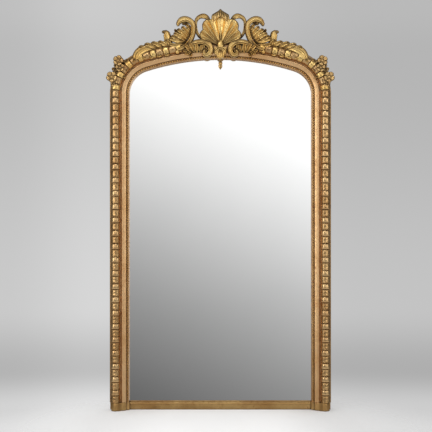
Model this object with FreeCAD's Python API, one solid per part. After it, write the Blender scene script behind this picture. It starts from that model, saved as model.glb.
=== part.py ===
import FreeCAD, Part
import math
import os

V = FreeCAD.Vector

# A tall giltwood mirror with a depressed arch and a pierced, carved crest.
# X is to the viewer's right, the front faces -Y and Z is up.
# Across the mouldings, u is the distance outwards from the sight edge.
# From back to front, t is the distance forwards of the frame's flat back.

# Sight opening, front view
SIGHT_HALF_W = 457.0
SPRING_Z = 1582.0
ARCH_RISE = 175.0
CROWN_R = 1225.0

# Widths of the mouldings, from the sight edge outwards
BEAD_BED_W = 13.5
BAND_W = 21.0
HOLLOW_W = 8.5
TORUS_W = 42.0
FILLET_W = 10.0

# Heights of the mouldings above the back
BED_T = 55.0
BAND_OUTER_T = 66.0
BAND_INNER_T = 58.0
BEAD_BED_T = 52.0
TORUS_RISE = 33.0
BEAD_RISE = 7.0

# Glazing rebate and what it holds
REBATE_W = 14.0
GLASS_FRONT_T = 20.0
GLASS_THICK = 5.0
GLASS_PLAY = 2.0
BOARD_THICK = 6.0
BOARD_PLAY = 1.0
BOARD_COUNT = 4
BLOCK_W = 9.0
BLOCK_L = 160.0
NAIL_SHANK = 2.0
NAIL_HEAD = 5.0
NAIL_HEAD_THICK = 1.2
NAIL_L = 12.0
NAIL_SPREAD = 50.0

# Bottom rail and plinth blocks
RAIL_H = 44.0
RAIL_T = 30.0
RAIL_SIGHT_H = 7.0
RAIL_SIGHT_STEP = 5.0
RAIL_STRIP_H = 11.0
RAIL_STRIP_RISE = 4.0
TENON_L = 30.0
TENON_H = 22.0
TENON_THICK = 10.0
FIT_GAP = 0.2
PLINTH_H = 40.0
PLINTH_T = 91.0
PLINTH_RETURN = 3.0
PLINTH_STEP = 3.0

# Ornament that repeats along the mouldings
TORUS_PITCH = 65.0
BARREL_L = 27.0
TORUS_REED = 0.84
TORUS_FACETS = 5
BEAD_PITCH = 36.0
BEAD_WAIST = 0.4
BEAD_EDGE = 1.0
BEAD_FACETS = 3
TORUS_STOP_X = 192.0

# Four points count as flat when the last is this close to the others' plane
FLAT = 1e-6

# Crest: heights are above the shell's hub, which lies in front of the head
HUB_DROP = 36.0
SHELL_T = 112.0
SHELL_HUB_T = 88.0
SHELL_SPREAD = 73.0
SHELL_LEAN = 17.0
RIDGE_FIRST = 12.0
RIDGE_PITCH = 21.5
RIDGE_DEPTH = 5.0
# Rings of a fan, as shares of its reach: the neck first, and the rolled lip last
FAN_RINGS = (0.16, 0.48, 0.78, 0.95, 1.0)
LIP_DROP = 0.82
# Lobes of a fan: angle from its middle, distance of the lobe's centre, radius
SHELL_LOBES = [(0.0, 137.0, 45.0), (33.0, 118.0, 27.0), (54.5, 86.0, 28.0)]
APRON_LOBES = [(0.0, 42.0, 21.0), (40.0, 34.0, 17.0)]
APRON_SPREAD = 58.0
APRON_T = 94.0
PALMETTE_LOBES = [(0.0, 46.0, 16.0), (34.0, 40.0, 15.0), (66.0, 32.0, 15.0)]
PALMETTE_SPREAD = 84.0
PALMETTE_HUB_T = 69.0
PALMETTE_T = 80.0
PALMETTE_X = 178.0
PALMETTE_RISE = 30.0
PALMETTE_TURN = -8.0
DROP_L = 62.0
DROP_R = 11.0
DROP_STEM_R = 4.0
DROP_T = 72.0
DROP_SIDES = 8
# Stem and drop as turned: share of the length down from the apron, radius
DROP_PROFILE = [(-0.25, DROP_STEM_R), (0.35, DROP_STEM_R), (0.42, 0.8 * DROP_R),
                (0.6, DROP_R), (0.8, 0.6 * DROP_R), (1.0, 0.8)]

# Scrolls: start, heading in degrees, then (radius, turn) arcs, left turns positive
LOOP_START = (59.0, 130.0)
LOOP_HEADING = 67.0
LOOP_ARCS = [(32.0, -93.0), (36.0, -58.0), (120.0, -22.0), (60.0, -40.0)]
LOOP_WIDTHS = (16.0, 23.0, 16.0, 12.0, 12.0)
LOOP_T = 82.0
SCROLL_START = (213.0, 100.0)
SCROLL_HEADING = 96.0
SCROLL_ARCS = [(37.0, 99.0), (46.0, 72.0), (115.0, 37.0), (95.0, 48.0)]
SCROLL_WIDTHS = (12.0, 21.0, 20.0, 17.0)
SCROLL_T = 90.0
VOLUTE_START = (159.0, -5.0)
VOLUTE_HEADING = 135.0
VOLUTE_ARCS = [(84.0, 30.0), (88.0, 29.0), (42.0, 56.0), (31.0, 84.0), (14.0, 177.0)]
VOLUTE_WIDTHS = (21.0, 20.0, 17.0, 9.0)
VOLUTE_T = 97.0
SCROLL_GROOVE = 4.0
ARC_STEP = 28.0

# Acanthus that trails down each side of the arch, its root measured in from the sight edge
LEAF_ROOT_IN = 235.0
LEAF_RUN = 252.0
LEAF_HALF_W = 23.0
LEAF_U = 104.0
LEAF_T = 82.0
LEAF_LOBES = 5
LEAF_NOTCH = 0.72
LEAF_TIP = 0.12
LEAF_FALL = 0.35
LEAF_EDGE = 0.6
# Leaf tips that curl over outwards: distance in from the sight edge, heading, width and arcs
HOOKS = [(195.0, 98.0, 34.0, [(136.0, -25.0), (16.0, -105.0)]),
         (157.0, 52.0, 26.0, [(74.0, -42.0)]),
         (111.0, 48.0, 24.0, [(76.0, -40.0)])]
HOOK_T = 76.0
HOOK_RIDGE = 5.0
HOOK_MIDDLE = 0.65
HOOK_TIP_W = 5.0

# Flowers on the shoulders: angle up from the springing, u of the centre, radius
FLOWERS = [(42.2, 121.0, 25.0), (37.5, 91.0, 20.0), (22.0, 102.0, 25.0)]
FLOWER_PETALS = 5
FLOWER_T = 96.0
FLOWER_WAIST = 0.82
# Rings of a flower from its middle out: share of the radius, share of the height
FLOWER_RINGS = [(0.18, 0.9), (0.34, 0.62), (0.7, 1.0), (1.0, 0.7)]
SPRAY_LOBES = [(0.0, 34.0, 15.0), (40.0, 26.0, 15.0)]
SPRAY_ANGLE = 31.5
SPRAY_U = 89.0
SPRAY_SPREAD = 70.0
SPRAY_HUB_T = 70.0
SPRAY_T = 78.0

# Crest support behind
CREST_BOARD_HALF_W = 96.0
CREST_BOARD_RISE = 96.0
CREST_BOARD_THICK = 25.0
CREST_BLOCK_HALF_W = 30.0
CREST_BLOCK_RISE = 55.0
PLATE_THICK = 2.5
PLATE_HALF_W = 14.0
PLATE_REACH = 46.0

# Hanging hardware, its ring pins below the springing, and its screws
HANGER_DROP = 102.0
HANGER_PLATE_L = 80.0
EYE_R = 7.0
EYE_HALF_W = 12.0
RING_WIRE = 5.0
RING_R = 22.0
RING_CLEAR = 0.08
FORGED_SIDES = 8
RING_CHORDS = 8
SCREW_R = 2.2
SCREW_HEAD_R = 4.2
SCREW_HEAD_THICK = 1.4
SCREW_L = 22.0
SCREW_SIDES = 6
SCREW_PLACES = (0.45, 0.82)

# Worked out from the values above
BAND_U = BEAD_BED_W
HOLLOW_U = BAND_U + BAND_W
TORUS_U = HOLLOW_U + HOLLOW_W
FILLET_U = TORUS_U + TORUS_W
OUTER_U = FILLET_U + FILLET_W
BACK_Y = (SHELL_T - 2 * EYE_R) / 2
SHOULDER_R = (CROWN_R**2 - SIGHT_HALF_W**2 - (CROWN_R - ARCH_RISE)**2) / (2 * (CROWN_R - SIGHT_HALF_W))
SHOULDER_X = SIGHT_HALF_W - SHOULDER_R
CROWN_Z = SPRING_Z + ARCH_RISE - CROWN_R
SHOULDER_TURN = math.atan2(SPRING_Z - CROWN_Z, SHOULDER_X)
HEAD_TOP_Z = CROWN_Z + CROWN_R + OUTER_U
HUB_Z = HEAD_TOP_Z - HUB_DROP
STILE_X = SIGHT_HALF_W + (REBATE_W + OUTER_U) / 2
HANGER_Z = SPRING_Z - HANGER_DROP
LEAF_START_X = SIGHT_HALF_W - LEAF_ROOT_IN


def at(x, t, z):
    """Point x across, t forwards of the back and z up."""
    return V(x, BACK_Y - t, z)


def box(x0, x1, t0, t1, z0, z1):
    """Block between two values in each direction."""
    return Part.makeBox(x1 - x0, t1 - t0, z1 - z0, at(x0, t1, z0))


def mirrored(shape):
    """The same piece on the left."""
    return shape.mirror(V(0, 0, 0), V(1, 0, 0))


def flat_face(points):
    """Face bounded by straight lines through the points."""
    return Part.Face(Part.makePolygon(points + [points[0]]))


def prism(points, depth):
    """Flat polygon pushed along a vector."""
    return flat_face(points).extrude(depth)


def closed_solid(faces):
    """Solid bounded by faces that meet edge to edge."""
    shell = Part.makeShell(faces)
    shell.sewShape()
    solid = Part.makeSolid(shell)
    solid = solid if solid.Volume > 0 else solid.reversed()
    return solid.removeSplitter()


def patch(a, b, c, d):
    """One flat facet over four corners, or two where they do not lie in a plane."""
    normal = (b - a).cross(c - a)
    if abs(normal.dot(d - a)) <= normal.Length * FLAT:
        return [flat_face([a, b, c, d])]
    return [flat_face([a, b, c]), flat_face([a, c, d])]


def skinned(sections):
    """Solid with flat facets from each section, a ring of points, to the next."""
    faces = [flat_face(sections[0]), flat_face(sections[-1])]
    for low, high in zip(sections, sections[1:]):
        for i in range(len(low)):
            j = (i + 1) % len(low)
            faces += patch(low[i], low[j], high[j], high[i])
    return closed_solid(faces)


def largest(shape):
    """The biggest solid that a cut leaves."""
    return max(shape.Solids, key=lambda solid: solid.Volume)


def arch_place(run, u):
    """Point and outward angle after a run along the right of the arch, at offset u."""
    shoulder_run = (SHOULDER_R + u) * SHOULDER_TURN
    if run <= shoulder_run:
        angle = run / (SHOULDER_R + u)
        x, z, radius = SHOULDER_X, SPRING_Z, SHOULDER_R + u
    else:
        angle = SHOULDER_TURN + (run - shoulder_run) / (CROWN_R + u)
        x, z, radius = 0.0, CROWN_Z, CROWN_R + u
    return x + radius * math.cos(angle), z + radius * math.sin(angle), angle


def arch_run_to(x, u):
    """Run along the arch, at offset u, that ends at x on the crown."""
    angle = math.acos(x / (CROWN_R + u))
    return (SHOULDER_R + u) * SHOULDER_TURN + (CROWN_R + u) * (angle - SHOULDER_TURN)


def crown_z(x, u):
    """Height of the crown's curve, offset by u, at x."""
    return CROWN_Z + math.sqrt((CROWN_R + u)**2 - x**2)


# Carcass mouldings

def moulding_face(z):
    """Section of the frame on the right, lying flat at height z."""
    def p(u, t):
        return at(SIGHT_HALF_W + u, t, z)
    corners = [(BAND_U, BAND_INNER_T), (BAND_U, BEAD_BED_T), (0, BEAD_BED_T), (0, GLASS_FRONT_T),
               (REBATE_W, GLASS_FRONT_T), (REBATE_W, 0), (OUTER_U, 0), (OUTER_U, BED_T),
               (HOLLOW_U, BED_T), (HOLLOW_U, BAND_OUTER_T)]
    return flat_face([p(u, t) for u, t in corners])


def stile():
    """Right stile, with its plinth seat and the mortise for the rail."""
    body = moulding_face(0).extrude(V(0, 0, SPRING_Z))
    inner, outer = SIGHT_HALF_W - REBATE_W, SIGHT_HALF_W + OUTER_U + REBATE_W
    seat = box(inner, outer, RAIL_T, PLINTH_T + REBATE_W, -PLINTH_H, PLINTH_H)
    return body.cut(seat).cut(tenon(FIT_GAP))


def shoulder():
    """Right shoulder of the head, from the springing to the crown."""
    axis = at(SHOULDER_X, 0, SPRING_Z)
    return moulding_face(SPRING_Z).revolve(axis, V(0, -1, 0), math.degrees(SHOULDER_TURN))


def crown():
    """Middle of the head, between the two shoulders."""
    face = moulding_face(SPRING_Z)
    face.translate(V(CROWN_R - SIGHT_HALF_W, 0, CROWN_Z - SPRING_Z))
    start = math.degrees(SHOULDER_TURN)
    face.rotate(at(0, 0, CROWN_Z), V(0, -1, 0), start)
    return face.revolve(at(0, 0, CROWN_Z), V(0, -1, 0), 180 - 2 * start)


def tenon(gap):
    """Tenon at the rail's right end, grown by a gap on every side."""
    x0 = SIGHT_HALF_W + REBATE_W
    t0 = (GLASS_FRONT_T - TENON_THICK) / 2
    z0 = (RAIL_H - REBATE_W - TENON_H) / 2
    return box(x0 - gap, x0 + TENON_L + gap, t0 - gap, t0 + TENON_THICK + gap,
               z0 - gap, z0 + TENON_H + gap)


def bottom_rail():
    """Plain rail with the glazing rebate and a tenon at each end."""
    lip = box(-SIGHT_HALF_W, SIGHT_HALF_W, GLASS_FRONT_T, RAIL_T - RAIL_SIGHT_STEP, 0, RAIL_H)
    face = box(-SIGHT_HALF_W, SIGHT_HALF_W, RAIL_T - RAIL_SIGHT_STEP, RAIL_T, 0, RAIL_H - RAIL_SIGHT_H)
    half = SIGHT_HALF_W + REBATE_W
    core = box(-half, half, 0, GLASS_FRONT_T, 0, RAIL_H - REBATE_W)
    end = tenon(0)
    return core.fuse([lip, face, end, mirrored(end)]).removeSplitter()


def rail_strip():
    """Rounded strip along the rail's face, under its sight edge."""
    high = RAIL_H - RAIL_SIGHT_H
    low = high - RAIL_STRIP_H
    x = PLINTH_RETURN - SIGHT_HALF_W
    front = at(x, RAIL_T + RAIL_STRIP_RISE, (low + high) / 2)
    bottom, top = at(x, RAIL_T, low), at(x, RAIL_T, high)
    face = Part.Face(Part.Wire([Part.Arc(bottom, front, top).toShape(), Part.makeLine(top, bottom)]))
    return face.extrude(V(-2 * x, 0, 0))


def plinth_block():
    """Right plinth block, stepped in plan like the mouldings that stand on it."""
    def p(u, t):
        return at(SIGHT_HALF_W + u, t, 0)
    torus_side_t = PLINTH_T - (TORUS_W / 3)
    middle_u = TORUS_U + TORUS_W / 2
    corners = [(FILLET_U, torus_side_t), (FILLET_U, RAIL_T), (-PLINTH_RETURN, RAIL_T),
               (-PLINTH_RETURN, BEAD_BED_T - PLINTH_RETURN), (BAND_U, BEAD_BED_T - PLINTH_RETURN),
               (BAND_U, BAND_INNER_T + PLINTH_STEP), (HOLLOW_U, BAND_OUTER_T + PLINTH_STEP),
               (TORUS_U, torus_side_t)]
    points = [p(u, t) for u, t in corners]
    lines = [Part.makeLine(a, b) for a, b in zip(points, points[1:])]
    bow = Part.Arc(points[-1], p(middle_u, PLINTH_T), points[0]).toShape()
    return Part.Face(Part.Wire(lines + [bow])).extrude(V(0, 0, PLINTH_H))


# Repeating ornament

def half_round(x, z, angle, half_w, seat_t, rise, facets, scale):
    """Half-round section on a seat of steady width, drawn in above it by a scale."""
    points = []
    for i in range(facets + 1):
        turn = math.pi * i / facets
        across = half_w * math.cos(turn) * (scale if 0 < i < facets else 1.0)
        forward = seat_t + rise * scale * math.sin(turn)
        points.append(at(x + across * math.cos(angle), forward, z + across * math.sin(angle)))
    return points


def repeated(length, pitch, steps):
    """Runs and scales along a length: whole repeats of (share of the repeat, scale)."""
    count = max(1, round(length / pitch))
    step = length / count
    runs = [((i + share) * step, scale) for i in range(count) for share, scale in steps]
    return runs + [(length, steps[0][1])]


def torus_steps():
    """One repeat of the torus: a burnished barrel, then a longer reeded length."""
    barrel = BARREL_L / TORUS_PITCH
    return [(0.0, TORUS_REED), (barrel / 4, 1.0), (barrel * 3 / 4, 1.0), (barrel, TORUS_REED)]


def torus_section(x, z, angle, scale):
    """Section of the torus, drawn in or swollen by a scale."""
    return half_round(x, z, angle, TORUS_W / 2, BED_T, TORUS_RISE, TORUS_FACETS, scale)


def stile_torus():
    """Ornamented torus on the right stile, from the plinth to the springing."""
    x = SIGHT_HALF_W + TORUS_U + TORUS_W / 2
    runs = repeated(SPRING_Z - PLINTH_H, TORUS_PITCH, torus_steps())
    sections = [torus_section(x, PLINTH_H + run, 0, scale) for run, scale in runs]
    return skinned(sections)


def head_torus():
    """Ornamented torus on the right of the arch, which ends under the crest."""
    u = TORUS_U + TORUS_W / 2
    runs = repeated(arch_run_to(TORUS_STOP_X, u), TORUS_PITCH, torus_steps())
    sections = [torus_section(*arch_place(run, u), scale) for run, scale in runs]
    return skinned(sections)


def bead_section(x, z, angle, scale):
    """Section of the bead row, at a bead or at the waist between two."""
    half_w = BEAD_BED_W / 2 - BEAD_EDGE
    return half_round(x, z, angle, half_w, BEAD_BED_T, BEAD_RISE, BEAD_FACETS, scale)


def stile_beads():
    """Row of beads beside the glass, on the right stile."""
    x = SIGHT_HALF_W + BEAD_BED_W / 2
    runs = repeated(SPRING_Z - PLINTH_H, BEAD_PITCH, [(0.0, BEAD_WAIST), (0.5, 1.0)])
    sections = [bead_section(x, PLINTH_H + run, 0, scale) for run, scale in runs]
    return skinned(sections)


def head_beads():
    """Row of beads round the right half of the arch."""
    u = BEAD_BED_W / 2
    runs = repeated(arch_run_to(0, u), BEAD_PITCH, [(0.0, BEAD_WAIST), (0.5, 1.0)])
    sections = [bead_section(*arch_place(run, u), scale) for run, scale in runs]
    return skinned(sections)


# Glazing and back

def opening_face(u, bottom_z, t):
    """Outline of the sight opening grown by u, as a face at depth t."""
    side = SIGHT_HALF_W + u
    half_x, half_z, _ = arch_place((SHOULDER_R + u) * SHOULDER_TURN / 2, u)
    haunch_x, haunch_z, _ = arch_place((SHOULDER_R + u) * SHOULDER_TURN, u)
    top = at(0, t, CROWN_Z + CROWN_R + u)
    low, spring = at(side, t, bottom_z), at(side, t, SPRING_Z)
    low_left, spring_left = at(-side, t, bottom_z), at(-side, t, SPRING_Z)
    haunch, haunch_left = at(haunch_x, t, haunch_z), at(-haunch_x, t, haunch_z)
    edges = [Part.makeLine(low_left, low), Part.makeLine(low, spring),
             Part.Arc(spring, at(half_x, t, half_z), haunch).toShape(),
             Part.Arc(haunch, top, haunch_left).toShape(),
             Part.Arc(haunch_left, at(-half_x, t, half_z), spring_left).toShape(),
             Part.makeLine(spring_left, low_left)]
    return Part.Face(Part.Wire(edges))


def mirror_plate():
    """Silvered glass, set in the rebate from behind."""
    bottom = RAIL_H - REBATE_W + GLASS_PLAY
    return opening_face(REBATE_W - GLASS_PLAY, bottom, GLASS_FRONT_T).extrude(V(0, GLASS_THICK, 0))


def board_limits():
    """Heights between which each back board lies, with a gap between boards."""
    low = RAIL_H - REBATE_W + BOARD_PLAY
    high = CROWN_Z + CROWN_R + REBATE_W
    step = (high - low) / BOARD_COUNT
    return [(low + i * step, low + (i + 1) * step - BOARD_PLAY) for i in range(BOARD_COUNT)]


def back_board(low, high):
    """One horizontal plank of the back."""
    bottom = RAIL_H - REBATE_W + BOARD_PLAY
    whole = opening_face(REBATE_W - BOARD_PLAY, bottom, BOARD_THICK).extrude(V(0, BOARD_THICK, 0))
    half = SIGHT_HALF_W + OUTER_U
    return whole.common(box(-half, half, -BOARD_THICK, 2 * BOARD_THICK, low, high))


def block_heights():
    """Middle of each glazing block on a stile, one to a board, below the springing."""
    return [(low + min(high, SPRING_Z)) / 2 for low, high in board_limits()]


def glazing_block(z):
    """Block glued in the right rebate, behind the glass."""
    outer = SIGHT_HALF_W + REBATE_W
    back = GLASS_FRONT_T - GLASS_THICK
    return box(outer - BLOCK_W, outer, BOARD_THICK, back, z - BLOCK_L / 2, z + BLOCK_L / 2)


def nail(z):
    """Square cut nail through a board into its glazing block."""
    x = SIGHT_HALF_W + REBATE_W - BLOCK_W / 2

    def square(side, t0, t1):
        half = side / 2
        return box(x - half, x + half, t0, t1, z - half, z + half)
    return square(NAIL_HEAD, -NAIL_HEAD_THICK, 0).fuse(square(NAIL_SHANK, 0, NAIL_L))


# Carved crest

def walk(start, heading, arcs):
    """Points (x, z, heading) along a chain of tangent arcs."""
    x, z, direction = start[0], start[1], math.radians(heading)
    points = [(x, z, direction)]
    for radius, turn in arcs:
        count = max(2, math.ceil(abs(turn) / ARC_STEP))
        step = math.radians(turn) / count
        chord = 2 * radius * math.sin(abs(step) / 2)
        for _ in range(count):
            x += chord * math.cos(direction + step / 2)
            z += chord * math.sin(direction + step / 2)
            direction += step
            points.append((x, z, direction))
    return points


def along(values, share):
    """Value part of the way along evenly spaced values."""
    place = share * (len(values) - 1)
    i = min(int(place), len(values) - 2)
    return values[i] + (values[i + 1] - values[i]) * (place - i)


def strap(points, widths, front_t, groove):
    """Carved strap along a path, with a flat back and a groove or ridge down its face."""
    sections = []
    for i, (x, z, direction) in enumerate(points):
        half = along(widths, i / (len(points) - 1)) / 2
        side = (-math.sin(direction), math.cos(direction))
        section = [(-half, BED_T), (-half, front_t), (0, front_t - groove), (half, front_t), (half, BED_T)]
        sections.append([at(x + a * side[0], t, z + a * side[1]) for a, t in section])
    return skinned(sections)


def scroll(start, heading, arcs, widths, front_t):
    """Strap placed by its height above the shell's hub."""
    points = walk((start[0], HUB_Z + start[1]), heading, arcs)
    return strap(points, widths, front_t, SCROLL_GROOVE)


def on_bed(point):
    """The same place on the plane that the ornament is glued to."""
    return V(point.x, BACK_Y - BED_T, point.z)


def carved(rings, closed):
    """Solid with a carved front, given as rings of points, and a flat back on the bed."""
    faces = []
    count = len(rings[0])
    spans = count if closed else count - 1
    for inner, outer in zip(rings, rings[1:]):
        for i in range(spans):
            j = (i + 1) % count
            faces += patch(inner[i], outer[i], outer[j], inner[j])
    rim = rings[-1]
    edges = [(rim[i], rim[(i + 1) % count]) for i in range(spans)]
    if closed:
        middle = sum(rings[0], V(0, 0, 0)) * (1.0 / count)
        faces += [flat_face([middle, rings[0][i], rings[0][(i + 1) % count]]) for i in range(spans)]
        outline = rim
    else:
        sides = [[ring[0] for ring in rings], [ring[-1] for ring in rings]]
        for side in sides:
            faces.append(flat_face(side + [on_bed(side[-1]), on_bed(side[0])]))
        edges += [(rings[0][i], rings[0][i + 1]) for i in range(spans)]
        outline = rings[0] + rim[::-1]
    for a, b in edges:
        faces.append(flat_face([a, b, on_bed(b), on_bed(a)]))
    faces.append(flat_face([on_bed(point) for point in outline]))
    return closed_solid(faces)


def rim_radius(lobes, angle):
    """Distance from the hub to the outermost lobe in one direction."""
    best = 0.0
    for middle, distance, radius in lobes:
        for side in (-1, 1):
            off = math.radians(angle - side * middle)
            reach = radius**2 - (distance * math.sin(off))**2
            if reach > 0 and math.cos(off) > 0:
                best = max(best, distance * math.cos(off) + math.sqrt(reach))
    return best


def fan(x, z, turn, lobes, spread, hub_t, front_t, facets_per_ridge):
    """Fluted fan of round lobes, its hub at x, z and its middle turned from upright."""
    step = RIDGE_PITCH / facets_per_ridge
    count = max(2, round(spread / step))
    angles = [spread * i / count for i in range(-count, count + 1)]
    rings = []
    for share in FAN_RINGS:
        rise = math.sin(min(share / FAN_RINGS[-2], 1.0) * math.pi / 2)**2
        lip = 1.0 if share < 1.0 else LIP_DROP
        ring = []
        for angle in angles:
            flute = math.cos(math.radians(360 * (abs(angle) - RIDGE_FIRST) / RIDGE_PITCH))
            reach = rim_radius(lobes, angle) * share
            direction = math.radians(90 - angle - turn)
            crest_t = hub_t + (front_t - hub_t) * rise - RIDGE_DEPTH * (1 - flute) / 2 * share
            forward = BED_T + (crest_t - BED_T) * lip
            ring.append(at(x + reach * math.cos(direction), forward, z + reach * math.sin(direction)))
        rings.append(ring)
    return carved(rings, False)


def shell():
    """Scallop shell: round lobes, flutes from the hub, and a back cut to lean forwards."""
    body = fan(0, HUB_Z, 0, SHELL_LOBES, SHELL_SPREAD, SHELL_HUB_T, SHELL_T, 4)
    top_z = HUB_Z + SHELL_LOBES[0][1] + SHELL_LOBES[0][2]
    foot_z = HUB_Z + CREST_BOARD_RISE
    half = CREST_BOARD_HALF_W * 2
    corners = [at(-half, BED_T, foot_z), at(-half, BED_T + SHELL_LEAN, top_z), at(-half, 0, top_z)]
    return body.cut(prism(corners, V(2 * half, 0, 0)))


def apron():
    """Leafy apron under the shell, pointing down over the mouldings."""
    return fan(0, HUB_Z, 180, APRON_LOBES, APRON_SPREAD, SHELL_HUB_T, APRON_T, 2)


def pendant_drop():
    """Pointed drop on a stem, hanging in front of the glass."""
    top = HUB_Z - APRON_LOBES[0][1] - APRON_LOBES[0][2]
    turns = [2 * math.pi * i / DROP_SIDES for i in range(DROP_SIDES)]
    sections = []
    for share, radius in DROP_PROFILE:
        z = top - share * DROP_L
        ring = [at(radius * math.cos(turn), DROP_T + radius * math.sin(turn), z) for turn in turns]
        sections.append(ring)
    return skinned(sections)


def palmette():
    """Small leaf fan inside the right C-scroll."""
    z = HUB_Z + PALMETTE_RISE
    return fan(PALMETTE_X, z, PALMETTE_TURN, PALMETTE_LOBES, PALMETTE_SPREAD,
               PALMETTE_HUB_T, PALMETTE_T, 2)


def acanthus():
    """Right acanthus leaf: a lobed blade along the arch with hooked tips."""
    sections = []
    run_start = arch_run_to(LEAF_START_X, LEAF_U)
    stations = 2 * LEAF_LOBES
    for i in range(stations + 1):
        share = i / stations
        x, z, angle = arch_place(run_start - share * LEAF_RUN, LEAF_U)
        notch = LEAF_NOTCH if i % 2 else 1.0
        half = LEAF_HALF_W * max(1 - share**3, LEAF_TIP) * notch
        ridge = BED_T + (LEAF_T - BED_T) * (1 - LEAF_FALL * share)
        edge = BED_T + (ridge - BED_T) * LEAF_EDGE
        section = [(-half, BED_T), (-half, edge), (0, ridge), (half, edge), (half, BED_T)]
        sections.append([at(x + a * math.cos(angle), t, z + a * math.sin(angle)) for a, t in section])
    blade = skinned(sections)
    return blade.fuse([hook(*sizes) for sizes in HOOKS])


def hook(root_in, heading, width, arcs):
    """Leaf tip that rises from the blade and curls over outwards."""
    x = SIGHT_HALF_W - root_in
    path = walk((x, crown_z(x, OUTER_U - FILLET_W)), heading, arcs)
    return strap(path, (width, width * HOOK_MIDDLE, HOOK_TIP_W), HOOK_T, -HOOK_RIDGE)


def flower(angle, u, radius):
    """Open flower on the right shoulder."""
    direction = math.radians(angle)
    x = SHOULDER_X + (SHOULDER_R + u) * math.cos(direction)
    z = SPRING_Z + (SHOULDER_R + u) * math.sin(direction)
    rings = []
    for share, height in FLOWER_RINGS:
        ring = []
        for i in range(2 * FLOWER_PETALS):
            reach = radius * share * (FLOWER_WAIST if i % 2 and share > 0.5 else 1.0)
            turn = math.pi * i / FLOWER_PETALS
            forward = BED_T + (FLOWER_T - BED_T) * height
            ring.append(at(x + reach * math.cos(turn), forward, z + reach * math.sin(turn)))
        rings.append(ring)
    return carved(rings, True)


def spray():
    """Leaf spray that carries the flowers on the right shoulder."""
    direction = math.radians(SPRAY_ANGLE)
    x = SHOULDER_X + (SHOULDER_R + SPRAY_U) * math.cos(direction)
    z = SPRING_Z + (SHOULDER_R + SPRAY_U) * math.sin(direction)
    return fan(x, z, 90 - SPRAY_ANGLE, SPRAY_LOBES, SPRAY_SPREAD, SPRAY_HUB_T, SPRAY_T, 2)


# Crest support

def outside_head():
    """Everything inside the head's outer curve, to cut what stands on the head."""
    radius = CROWN_R + OUTER_U + FIT_GAP
    return Part.makeCylinder(radius, 4 * BED_T, at(0, 2 * BED_T, CROWN_Z), V(0, 1, 0))


def crest_board():
    """Tapered board behind the shell, standing on the head."""
    low, high = HUB_Z, HUB_Z + CREST_BOARD_RISE
    outline = [at(-CREST_BOARD_HALF_W, BED_T, low), at(CREST_BOARD_HALF_W, BED_T, low),
               at(CREST_BOARD_HALF_W / 2, BED_T, high), at(-CREST_BOARD_HALF_W / 2, BED_T, high)]
    return prism(outline, V(0, CREST_BOARD_THICK, 0)).cut(outside_head())


def crest_block():
    """Block that fills the space behind the crest board, level with the back."""
    high = HEAD_TOP_Z + CREST_BLOCK_RISE
    front_t = BED_T - CREST_BOARD_THICK
    block = box(-CREST_BLOCK_HALF_W, CREST_BLOCK_HALF_W, 0, front_t, HUB_Z, high)
    return block.cut(outside_head())


def crest_plate():
    """Iron plate that ties the crest block to the back of the head."""
    low, high = HEAD_TOP_Z - PLATE_REACH, HEAD_TOP_Z + PLATE_REACH
    return box(-PLATE_HALF_W, PLATE_HALF_W, -PLATE_THICK, 0, low, high)


def screw(x, z):
    """Flat-headed screw from the back, through an iron plate into the wood."""
    def bar(radius, t, depth):
        ring = []
        for i in range(SCREW_SIDES):
            turn = 2 * math.pi * i / SCREW_SIDES
            ring.append(at(x + radius * math.cos(turn), t, z + radius * math.sin(turn)))
        return prism(ring, V(0, depth, 0))
    head = bar(SCREW_HEAD_R, -PLATE_THICK, SCREW_HEAD_THICK)
    shank = bar(SCREW_R, SCREW_L - PLATE_THICK, SCREW_L)
    return head.fuse(shank).removeSplitter()


# Hanging hardware

def faceted_bar(x, length, radius):
    """Hammered bar of eight flats along X on the ring's axis, radius to its flats."""
    corner = radius / math.cos(math.pi / FORGED_SIDES)
    turns = [2 * math.pi * (i + 0.5) / FORGED_SIDES for i in range(FORGED_SIDES)]
    ring = [at(x, -EYE_R + corner * math.cos(turn), HANGER_Z + corner * math.sin(turn)) for turn in turns]
    return prism(ring, V(length, 0, 0))


def hanger_plate():
    """Iron strap on the back of the right stile, rolled into an eye at the top."""
    left, right = STILE_X - EYE_HALF_W, STILE_X + EYE_HALF_W
    plate = box(left, right, -PLATE_THICK, 0, HANGER_Z - HANGER_PLATE_L, HANGER_Z)
    eye = faceted_bar(left, 2 * EYE_HALF_W, EYE_R)
    start = at(left, -EYE_R, HANGER_Z)
    bore = Part.makeCylinder(RING_WIRE / 2 + RING_CLEAR, 2 * EYE_HALF_W, start, V(1, 0, 0))
    return plate.fuse(eye).cut(bore).removeSplitter()


def hanging_ring():
    """D-shaped iron ring, its bar in the eye and its loop hanging down."""
    reach = RING_R + RING_WIRE / 2
    flats = RING_WIRE / 2 * math.cos(math.pi / FORGED_SIDES)
    bar = faceted_bar(STILE_X - reach, 2 * reach, flats)
    half = RING_WIRE / 2
    sections = []
    for i in range(RING_CHORDS + 1):
        turn = math.pi * i / RING_CHORDS
        out = V(math.cos(turn), 0, -math.sin(turn))
        centre = at(STILE_X, -EYE_R, HANGER_Z) + out * RING_R
        depth = V(0, half, 0)
        sections.append([centre - out * half - depth, centre + out * half - depth,
                         centre + out * half + depth, centre - out * half + depth])
    return bar.fuse(skinned(sections)).removeSplitter()


def screw_heights(top, length):
    """Where two screws go through one arm of an iron plate, down from its top."""
    return [top - length * share for share in SCREW_PLACES]


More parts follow.
